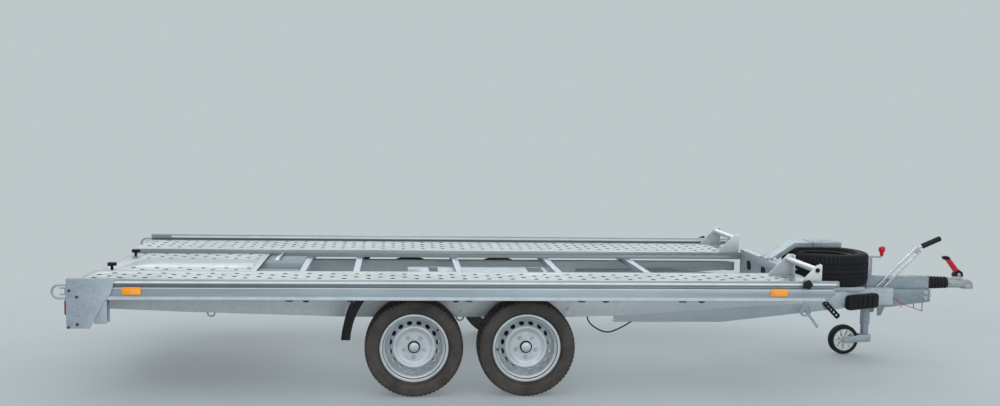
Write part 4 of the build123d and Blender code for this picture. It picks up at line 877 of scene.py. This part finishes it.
def make_rail_light_lines():
    """Painted light and shade along each rail: dark strips of painted shade in its groove and under its lip,
    and bright strips of painted highlight on its bead, its crown, the lower band of its outer face and near
    the top of its inner face.
    """
    web_y = rail_y - 0.0015
    rail_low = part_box("side_rail_right")[0].z
    # Dark strips are painted shade, in the groove and under the lip; bright strips are painted highlights, on
    # the bead, the crown and the lower band
    for name, low_z, high_z, start, end, y, out, paint in (
        ("rail_groove_shades", 0.0675, 0.0705, 0.132, 3.972, web_y, 0.0004, "aged_iron"),
        ("rail_bead_highlights", 0.059, 0.063, 0.132, 3.972, web_y, 0.0016, "rim_white"),
        ("rail_band_highlights", 0.002, 0.0185, 0.145, 3.925, rail_y, 0.0005, "rim_silver"),
        ("rail_lip_shades", 0.08, 0.0825, 0.132, 3.985, rail_y, 0.0004, "aged_iron"),
        ("rail_crown_highlights", 0.087, 0.097, 0.132, 3.985, rail_y, 0.0005, "rim_white"),
    ):
        bm = bmesh.new()
        side_boxes(bm, start, end, y - 0.002, y + out, rail_low + low_z, rail_low + high_z)
        finish(name, bm, "aluminium", bevel=min(out, 0.0012) * 0.7, paint=paint)
    # Painted highlight strips near the top of each rail's inner face
    bm = bmesh.new()
    side_boxes(bm, 0.132, 3.985, rail_y - 0.0325, rail_y - 0.03, rail_low + 0.086, rail_low + 0.098)
    finish("rail_inner_highlights", bm, "aluminium", bevel=0.0003, paint="rim_white")


def make_brake_cables():
    """Each brake cable's loop, on one smooth line through the points of its route."""
    low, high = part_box("brake_cables")
    radius = 0.004
    start = low.x + radius
    route = ((0.0, high.z), (0.0, high.z - 0.038), (0.084, 0.3), (0.156, 0.3), (0.254, 0.361))
    line = bpy.data.curves.new("brake_cable_loops", "CURVE")
    line.dimensions = "3D"
    line.resolution_u = 16
    line.bevel_depth = radius
    line.bevel_resolution = 4
    line.use_fill_caps = True
    for side in (-1, 1):
        spline = line.splines.new("NURBS")
        spline.points.add(len(route) - 1)
        for point, (x, z) in zip(spline.points, route):
            point.co = (start + x, side * (high.y - radius), z, 1)
        spline.order_u = 3
        spline.use_endpoint_u = True
    line.materials.append(PAINTS["black_rubber"])
    piece = bpy.data.objects.new("brake_cable_loops", line)
    show(piece)
    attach(piece, "chassis")
    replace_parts(piece, "brake_cables")


def make_splices():
    """Splice plates on the side members, and the bracket over the ramps."""
    member_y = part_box("side_member_left")[1].y
    bm = bmesh.new()
    side_boxes(bm, 2.576, 2.608, member_y, member_y + 0.0012, 0.404, 0.526)
    ramp_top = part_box("ramps")[1].z
    for start, height in ((0.9, 0.004), (0.926, 0.022)):
        box(bm, at(start, 0.21, ramp_top), at(0.93, 0.5, ramp_top + height))
    # The side members' lighter galvanised, which is painted light
    finish("splice_plates", bm, "galvanised", bevel=0.0004, paint="fresh_galvanised")


def make_rail_clips():
    """Black clips under the side rails, each with a narrower foot."""
    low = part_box("side_rail_right")[0].z
    bm = bmesh.new()
    for dx in (1.186, 1.952, 2.739, 3.252):
        for half, foot, top in ((0.016, 0.007, 0.0), (0.006, 0.01, 0.006)):
            side_boxes(bm, dx - half, dx + half, rail_y - 0.014, rail_y - 0.002, low - foot, low - top)
    finish("rail_clips", bm, "black_plastic", bevel=0.001)


# Sections of a wheel stop's tube at its end: the bright rim, and a dark disc of painted shade across the
# mouth
STOP_RIM = ((0.0125, 0.0), (0.0165, 0.0), (0.0165, 0.0022), (0.0155, 0.003), (0.013, 0.003), (0.0125, 0.0022))
STOP_MOUTH_SHADE = ((0.0, 0.0), (0.0, 0.0008), (0.0128, 0.0008), (0.0128, 0.0))


def make_stop_tubes():
    """The open ends of the wheel stops' tubes, each with a dark disc of painted shade across its mouth."""
    low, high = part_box("wheel_stops")
    for name, paint, profile in (
        # The rims take the wheel stops' lighter galvanised, which is painted light
        ("stop_tube_rims", "fresh_galvanised", STOP_RIM),
        ("stop_tube_mouth_shades", "hole_shade", STOP_MOUTH_SHADE),
    ):
        bm = bmesh.new()
        for side in (-1, 1):
            place = Vector((high.x - 0.026, side * high.y, low.z + 0.089))
            lathe(bm, profile, frame_at(place, (1, 0, 0), (0, side, 0)), 32, closed=True)
        finish(name, bm, "galvanised", paint=paint)


def make_steady_ring():
    """The ring under the deck's front, with its pin and its strap."""
    dx, y, z, radius = 4.03, -0.452, 0.392, 0.03
    turns = [tau * k / 32 for k in range(33)]
    bm = bmesh.new()
    tube(bm, [at(dx + radius * cos(a), y, z + radius * sin(a)) for a in turns], 0.006, 10, caps=False)
    clean(bm)
    strap = [at(dx + run, y + 0.007, z - drop) for run, drop in ((0.0, 0.0), (0.035, 0.042), (0.08, 0.1))]
    tube(bm, strap, 0.01, 10, flat=0.5)
    tube(bm, [at(dx, y, z + 0.028), at(dx, y + 0.022, z + 0.028)], 0.007, 10)
    finish("steady_ring", bm, "galvanised")


def make_loop_tabs():
    """The slotted tab that each lashing loop hangs in."""
    low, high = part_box("lashing_loops")
    outline = rectangle(-0.036, -0.02, 0.016, 0.02)
    outline += [(-0.036, 0.012), (-0.012, 0.012), (-0.012, -0.012), (-0.036, -0.012)]
    bm = bmesh.new()
    for side in (-1, 1):
        middle = Vector((rear_x, side * (rail_y - 0.0185), (low.z + high.z) / 2))
        prism(bm, outline, -0.0025, 0.0025, frame_at(middle, (1, 0, 0), (0, -1, 0)))
    finish("loop_tabs", bm, "galvanised", bevel=0.001)


def make_beam_hole_shades():
    """Dark ovals of painted shade behind the front beam's holes."""
    low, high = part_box("front_beam")
    bm = bmesh.new()
    for y in (-0.28, 0.0, 0.28):
        place = frame_at((low.x + 0.0045, y, (0.47 + high.z) / 2), (0, 1, 0), (1, 0, 0))
        prism(bm, oval(0.0, 0.0, 0.099, 0.064, 32), -0.0005, 0.0015, place)
    finish("beam_hole_shades", bm, "black_rubber", bevel=0.0004, paint="hole_shade")


def make_strap():
    """The punched black strap under the deck's front."""
    holes = [oval(0.016 + 0.024 * k, 0.0, 0.012, 0.008, 16) for k in range(5)]
    outline = [(0.0, -0.017), (0.128, -0.017), (0.134, -0.01), (0.134, 0.01), (0.128, 0.017), (0.0, 0.017)]
    place = frame_at(at(4.196, -0.315, 0.42), (0.7, 0.0, -0.714), (0, -1, 0))
    plate("black_strap", [outline] + holes, 0.003, place, "black_plastic")


# The drawbar arm's heading, which the chock follows, and the chock's length along it
ARM_HEADING = atan2(0.547, 1.13)
CHOCK_LENGTH = 0.262


def make_chock_ribs():
    """Ribs on the chock's outer face."""
    low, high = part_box("wheel_chock")
    along = Vector((cos(ARM_HEADING), sin(ARM_HEADING), 0))
    out = Vector((sin(ARM_HEADING), -cos(ARM_HEADING), 0))
    bm = bmesh.new()
    for share in (-0.36, -0.2, -0.04, 0.12, 0.28):
        middle = (low + high) / 2 + along * (share * CHOCK_LENGTH) + out * 0.0205
        prism(bm, rectangle(-0.004, -0.034, 0.004, 0.034), -0.002, 0.0035, frame_at(middle, along, out))
    finish("chock_ribs", bm, "black_plastic", bevel=0.0012)


# Bellows: bore, folds, mesh steps in each, how deep they are, and how much the crests narrow to the front
BELLOWS_BORE = 0.0256
FOLDS = 6
FOLD_STEPS = 10
FOLD_DEPTH = 0.0115
FOLD_TAPER = 0.004
CLAMP_WIDTH = 0.008


def make_bellows():
    """The folded bellows on the draw tube, with a clamp at each end."""
    low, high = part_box("bellows")
    axis_z = (low.z + high.z) / 2
    crest = (high.z - low.z) / 2
    length = high.x - low.x
    profile = [(BELLOWS_BORE, 0.0)]
    for k in range(FOLDS * FOLD_STEPS + 1):
        share = k / (FOLDS * FOLD_STEPS)
        wave = abs(sin(pi * FOLDS * share)) ** 0.7
        profile.append((crest - FOLD_DEPTH * (1 - wave) - FOLD_TAPER * share, length * share))
    profile.append((BELLOWS_BORE, length))
    bm = bmesh.new()
    lathe(bm, profile, frame_at((low.x, 0, axis_z), (0, 0, 1), (1, 0, 0)), 48, closed=True)
    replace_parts(finish("bellows_folds", bm, "black_rubber", sharp=60), "bellows")
    foot, top = crest - FOLD_DEPTH, crest - FOLD_DEPTH + 0.003
    clamp = [(foot, 0.0), (top, 0.001), (top, CLAMP_WIDTH - 0.001), (foot, CLAMP_WIDTH)]
    bm = bmesh.new()
    for x in (low.x, high.x - CLAMP_WIDTH):
        lathe(bm, clamp, frame_at((x, 0, axis_z), (0, 0, 1), (1, 0, 0)), 48, closed=True)
    finish("bellows_clamps", bm, "black_rubber")


# Black pieces on the coupling handle, in millimetres back from its front and up from its foot
HANDLE_FOOT = ((2, 0), (-4, 26), (-32, 45), (-60, 24), (-66, 6), (-64, 0))
HANDLE_CATCH = ((-128, 104), (-137, 121), (-134, 127), (-106, 128), (-90, 119), (-98, 106))


def make_coupling_parts():
    """The black pieces on the coupling handle, and the bolts through handle and head."""
    low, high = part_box("coupling_handle")
    bm = bmesh.new()
    for outline, half in ((HANDLE_FOOT, 0.0155), (HANDLE_CATCH, 0.0145)):
        points = [(x / 1000, z / 1000) for x, z in outline]
        prism(bm, points, -half, half, frame_at((high.x, 0, low.z), (1, 0, 0), (0, -1, 0)))
    finish("handle_foot", bm, "black_plastic", bevel=0.003)
    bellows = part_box("bellows")
    axis_z = (bellows[0].z + bellows[1].z) / 2
    head_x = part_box("coupling_head")[0].x - rear_x
    bm = bmesh.new()
    for dx in (0.022, 0.06):
        side_bolts(bm, head_x + dx, 0.0335, axis_z - 0.002, 0.019)
    hex_bolt(bm, (high.x - 0.03, -0.0155, low.z + 0.012), (0, -1, 0), 0.013)
    finish("coupling_bolts", bm, "bright_zinc", sharp=20)


# The jockey wheel's rim: halves of the hoop's and the hub's sections, and the outline of a spoke's flange
HOOP = [(0.07, -0.021), (0.0625, -0.02), (0.06, -0.012), (0.059, 0.0)]
HUB = [(0.0081, -0.017), (0.015, -0.017), (0.019, -0.014), (0.02, 0.0)]
SPOKE = (
    (0.0185, -0.0085), (0.04, -0.0068), (0.0615, -0.0105), (0.0615, 0.0105), (0.04, 0.0068), (0.0185, 0.0085),
)
SPOKES = 8


def make_jockey_wheel():
    """The jockey wheel's tyre, its spoked rim and the nuts on its pin."""
    low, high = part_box("jockey_tyre")
    centre = (low + high) / 2
    radius = (high.z - low.z) / 2
    half = (high.y - low.y) / 2
    matrix = frame_at(centre, (1, 0, 0), (0, -1, 0))
    tread = [(radius - 0.0247, -half + 0.001), (radius - 0.02, -half), (radius - 0.01, -half)]
    tread += [(radius - 0.004, -half + 0.003), (radius - 0.001, -half + 0.008), (radius, -half + 0.013)]
    tread += [(radius, -0.006), (radius - 0.002, -0.005), (radius - 0.002, 0.0)]
    bm = bmesh.new()
    lathe(bm, mirrored(tread), matrix, 72, closed=True)
    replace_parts(finish("jockey_tread", bm, "black_rubber", "jockey_roller", sharp=50), "jockey_tyre")
    bm = bmesh.new()
    lathe(bm, mirrored(HOOP), matrix, 72, closed=True)
    lathe(bm, mirrored(HUB), matrix, 40, closed=True)
    for k in range(SPOKES):
        place = matrix @ Matrix.Rotation(tau * k / SPOKES + 0.2, 4, "Z")
        for side in (-1, 1):
            prism(bm, SPOKE, side * 0.016, side * 0.012, place)
        prism(bm, rectangle(0.018, -0.0018, 0.0615, 0.0018), -0.0125, 0.0125, place)
    rim = finish("jockey_spokes", bm, "rim_silver", "jockey_roller", bevel=0.0008, paint="rim_white")
    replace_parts(rim, "jockey_rim")
    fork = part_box("jockey_fork")
    bm = bmesh.new()
    for side, y in ((-1, fork[0].y + 0.004), (1, fork[1].y - 0.004)):
        hex_bolt(bm, (centre.x, y, centre.z), (0, side, 0), 0.019)
    finish("jockey_nuts", bm, "bright_zinc", "jockey_caster", sharp=20)


# Sections as (radius, height over the jockey sleeve): the crank's cap and its knob
CRANK_CAP = ((0.0, 0.0), (0.0285, 0.0), (0.029, 0.0015), (0.027, 0.004), (0.012, 0.0048), (0.0, 0.0048))
CRANK_KNOB = (
    (0.0, 0.016), (0.0095, 0.016), (0.011, 0.018), (0.0115, 0.034), (0.013, 0.04), (0.0185, 0.044),
    (0.02, 0.048), (0.02, 0.064), (0.018, 0.072), (0.013, 0.0755), (0.0, 0.076),
)
SLEEVE_BAND = ((0.0301, 0.0), (0.0315, 0.001), (0.0315, 0.009), (0.0301, 0.01))


def make_jockey_head():
    """The bent crank on the jockey leg, its cap and knob, and the bands round the sleeve's foot."""
    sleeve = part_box("jockey_sleeve")
    middle = (sleeve[0] + sleeve[1]) / 2
    top = Vector((middle.x, middle.y, sleeve[1].z))
    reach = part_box("jockey_crank")[1].x - middle.x - 0.02
    path = [(0, 0.001), (0, 0.006), (0.003, 0.0105), (0.008, 0.012), (0.03, 0.0105), (0.06, 0.0085)]
    path += [(reach - 0.008, 0.008), (reach - 0.003, 0.0095), (reach, 0.014), (reach, 0.03)]
    bm = bmesh.new()
    tube(bm, [top + Vector((x, 0, z)) for x, z in path], 0.0052, 12)
    lathe(bm, CRANK_CAP, Matrix.Translation(top), 40)
    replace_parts(finish("crank_rod", bm, "bright_zinc", paint="cast_grey"), "jockey_crank")
    bm = bmesh.new()
    lathe(bm, CRANK_KNOB, Matrix.Translation(top + Vector((reach, 0, 0))), 40)
    finish("crank_knob", bm, "red_plastic")
    bm = bmesh.new()
    for z in (sleeve[0].z, sleeve[0].z + 0.03):
        lathe(bm, SLEEVE_BAND, Matrix.Translation((middle.x, middle.y, z)), 40, closed=True)
    finish("sleeve_bands", bm, "galvanised")


GRIP_RIBS = 9


def make_lever_parts():
    """The handbrake lever's ribbed grip and its bolts."""
    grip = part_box("handbrake_grip")
    inset_x, inset_z = 0.0045, 0.0135
    low = Vector((grip[0].x + inset_x, (grip[0].y + grip[1].y) / 2, grip[0].z + inset_z))
    high = Vector((grip[1].x - inset_x, low.y, grip[1].z - inset_z))
    length = (high - low).length
    profile = [(0.0, 0.0), (0.014, 0.0), (0.0165, 0.0015), (0.0168, 0.006), (0.0154, 0.009)]
    pitch = (length - 0.026) / (GRIP_RIBS - 1)
    for k in range(GRIP_RIBS):
        h = 0.012 + pitch * k
        profile += [(0.0165, h), (0.0168, h + 0.002), (0.0158, h + pitch / 2)]
    profile += [(0.0162, length - 0.006), (0.0132, length - 0.0015), (0.0, length)]
    bm = bmesh.new()
    lathe(bm, profile, frame_at(low, (0, 1, 0), (high - low).normalized()), 32)
    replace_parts(finish("grip_ribs", bm, "black_rubber", "brake_lever", sharp=50), "handbrake_grip")
    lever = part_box("handbrake_lever")
    pivot = Vector((lever[0].x + 0.024, lever[0].y, lever[0].z + 0.024))
    direction = Vector((1, 0, 1)).normalized()
    bm = bmesh.new()
    for reach, across in ((0.0, 0.019), (0.14, 0.019), (0.372, 0.013)):
        hex_bolt(bm, pivot + direction * reach, (0, -1, 0), across)
    finish("lever_bolts", bm, "bright_zinc", "brake_lever", sharp=20)


# Setting

WALL_COLOUR = (0.515, 0.571, 0.584)
FLOOR_COLOURS = ((0.36, 0.41, 0.435), (0.41, 0.46, 0.485))
FLOOR_RINGS = (0.01, 3, 6, 10, 16, 60)
FLOOR_SIDES = 96
# The floor's wall-coloured glow: its share close by, which is painted light that lifts the trailer's shadow,
# and the distances where it starts to grow and is full
SHADOW_LIFT_GLOW = 0.3
GLOW_START, GLOW_END = 1.2, 3.4
SKY_COLOUR = (0.94, 0.97, 1.0)
SKY_STRENGTH = 0.85
# Each soft light: name, place, target, size, power and colour
LIGHTS = (
    ("key", (-1.5, -5.0, 5.0), (0, 0, 0.4), (9, 5), 105, (1, 0.99, 0.98)),
    ("top", (0.0, 0.5, 6.5), (0, 0, 0.5), (10, 8), 90, (1, 1, 1)),
    ("low", (0.5, -8.0, 1.6), (0, 0, 0.3), (9, 3), 130, (0.96, 0.98, 1)),
    ("back", (0.0, 7.0, 4.0), (0, 0, 0.6), (10, 2), 220, (1, 1, 1)),
)


def make_floor():
    """A wide pale floor that fades into the wall's colour with distance, and even close by glows in that
    colour for a share, painted light that lifts the trailer's shadow.
    """
    bm = bmesh.new()
    add_loops(bm, [[Vector((x, y, 0)) for x, y in circle(0, 0, r, FLOOR_SIDES)] for r in FLOOR_RINGS])
    bm.faces.new(bm.verts[:FLOOR_SIDES])
    mesh = bpy.data.meshes.new("floor")
    bm.to_mesh(mesh)
    bm.free()
    paint = Paint("floor")
    clouds = paint.noise(0.5, 3, 0.5)
    base = paint.mix(paint.ramp(clouds, 0, 1, 0.35, 0.65), *FLOOR_COLOURS)
    paint.set(Base_Color=base, Roughness=0.75, Specular_IOR_Level=0.15)
    far = paint.tree.nodes.new("ShaderNodeVectorMath")
    far.operation = "LENGTH"
    feed(paint.tree, far.inputs[0], paint.stretched((0.5, 1, 1)))
    glow_share = paint.ramp(far.outputs["Value"], SHADOW_LIFT_GLOW, 1, GLOW_START, GLOW_END)
    rays = paint.add("LightPath").outputs
    glow = paint.add("Emission", Color=WALL_COLOUR)
    # Only camera rays see the glow: painted light close by, the backdrop's colour far off
    camera_glow_share = combine(paint.tree, "MULTIPLY", glow_share, rays["Is Camera Ray"])
    choose_shader(paint.tree, camera_glow_share, paint.shader, glow, "Material Output")
    mesh.materials.append(paint.material)
    floor = bpy.data.objects.new("floor", mesh)
    show(floor)


def make_world():
    """Even light from all round, with the wall's colour where it is seen directly or mirrored."""
    world = bpy.data.worlds.new("studio")
    bpy.context.scene.world = world
    world.use_nodes = True
    tree = world.node_tree
    sky = tree.nodes["Background"]
    feed(tree, sky.inputs["Color"], SKY_COLOUR)
    feed(tree, sky.inputs["Strength"], SKY_STRENGTH)
    wall = add_node(tree, "Background", Color=WALL_COLOUR, Strength=1.0)
    rays = add_node(tree, "LightPath").outputs
    seen = combine(tree, "MAXIMUM", rays["Is Camera Ray"], rays["Is Glossy Ray"])
    seen = combine(tree, "MAXIMUM", seen, rays["Is Transmission Ray"])
    choose_shader(tree, seen, sky, wall, "World Output")


def make_stage():
    make_floor()
    make_world()
    for light in LIGHTS:
        make_light(*light)
    bpy.context.scene.view_settings.view_transform = "Standard"


def dress_nodes():
    """Each CAD node that stays in view gets its slot's material."""
    for part in frame["record"]["subparts"]:
        mesh = nodes[part["node"]].data
        mesh.materials.clear()
        mesh.materials.append(PAINTS[part["material_slot"]])


make_camera()
make_stage()
dress_nodes()
make_wheels()
make_tracks()
make_cover()
round_nodes()
make_bolts()
make_rail_light_lines()
make_brake_cables()
make_splices()
make_rail_clips()
make_stop_tubes()
make_steady_ring()
make_loop_tabs()
make_beam_hole_shades()
make_strap()
make_chock_ribs()
make_bellows()
make_coupling_parts()
make_jockey_wheel()
make_jockey_head()
make_lever_parts()
